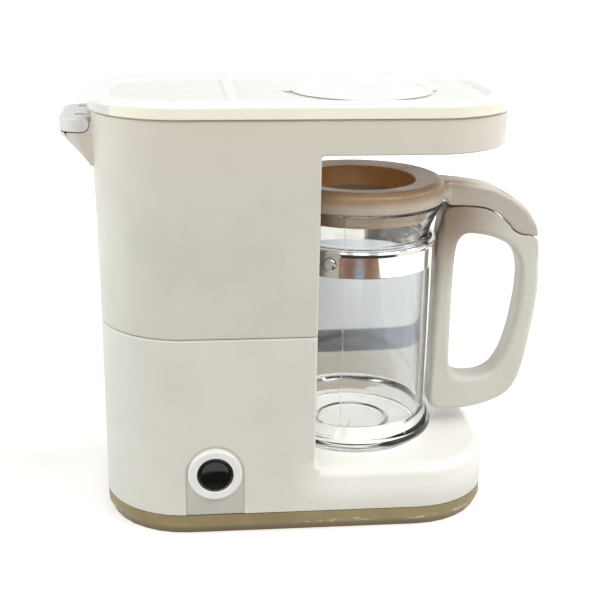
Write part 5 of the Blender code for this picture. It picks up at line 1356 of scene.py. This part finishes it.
def make_front_card():
    """What chrome and gloss show before the object: a brown room with a cool window."""
    finish = card_material("front_card")
    brown = finish.blend(finish.spread(finish.noise(9.0, 3.0), 0.35, 0.65), (0.300, 0.180, 0.130),
                         (0.460, 0.310, 0.240))
    away = finish.distance(finish.axis("X"), finish.math("SUBTRACT", finish.axis("Y"), WINDOW_Y))
    cool = finish.blend(finish.spread(away, *WINDOW_RADII, 1.0, 0.0), brown, (0.420, 0.480, 0.560))
    near = finish.spread(finish.axis("Y"), *FRONT_NEAR)
    finish.set("Color", finish.blend(near, cool, (0.060, 0.055, 0.050)))
    lay_card("front_card", FRONT_CORNERS, finish.made, "glossy")


def make_world():
    """White to seen rays, dim to the rest, with a darker room for glossy rays low in front."""
    world = bpy.data.worlds.new("surround")
    world.use_nodes = True
    tree = world.node_tree
    background = tree.nodes["Background"]
    feed(tree, background.inputs["Color"], WHITE_LIGHT)
    place = add_node(tree, "TexCoord").outputs["Generated"]
    toward = add_node(tree, "SeparateXYZ", {"Vector": place}).outputs
    lit = calculate(tree, "MAXIMUM", spread(tree, toward["Z"], *ROOM_HEIGHTS),
                    spread(tree, toward["Y"], *ROOM_DEPTHS))
    room = spread(tree, lit, 0.0, 1.0, ROOM_GLOW, 1.0)
    glossy = add_node(tree, "LightPath").outputs["Is Glossy Ray"]
    seen = add_node(tree, "MapRange", {"Value": glossy, "To Min": 1.0, "To Max": room}).outputs["Result"]
    level = add_node(tree, "MapRange", {"Value": seen_rays(tree), "To Min": AMBIENT, "To Max": seen})
    feed(tree, background.inputs["Strength"], level.outputs["Result"])
    bpy.context.scene.world = world


def make_lights():
    target = Vector(LAMP_TARGET)
    for name, azimuth, elevation, distance, size, energy, colour in LAMPS:
        data = bpy.data.lights.new(name, "AREA")
        data.shape = "SQUARE"
        data.size = size
        data.energy = energy
        data.color = colour
        lamp = bpy.data.objects.new(name, data)
        turn = math.radians(azimuth)
        rise = math.radians(elevation)
        level = distance * math.cos(rise)
        away = Vector((level * math.sin(turn), -level * math.cos(turn), distance * math.sin(rise)))
        lamp.location = target + away
        lamp.rotation_euler = (-away).to_track_quat("-Z", "Y").to_euler()
        bpy.context.scene.collection.objects.link(lamp)


def make_camera():
    data = bpy.data.cameras.new("camera")
    data.sensor_width = CAMERA_SENSOR
    data.lens = CAMERA_LENS
    data.shift_x = CAMERA_SHIFT
    made = bpy.data.objects.new("camera", data)
    turn = Matrix((CAMERA_RIGHT, CAMERA_UP, [-c for c in CAMERA_FORWARD])).transposed()
    made.matrix_world = Matrix.Translation(CAMERA_PLACE) @ turn.to_4x4()
    bpy.context.scene.collection.objects.link(made)
    bpy.context.scene.camera = made


make_floor()
make_backdrop_card()
make_front_card()
make_world()
make_lights()
make_camera()
bpy.context.scene.view_settings.view_transform = "Standard"
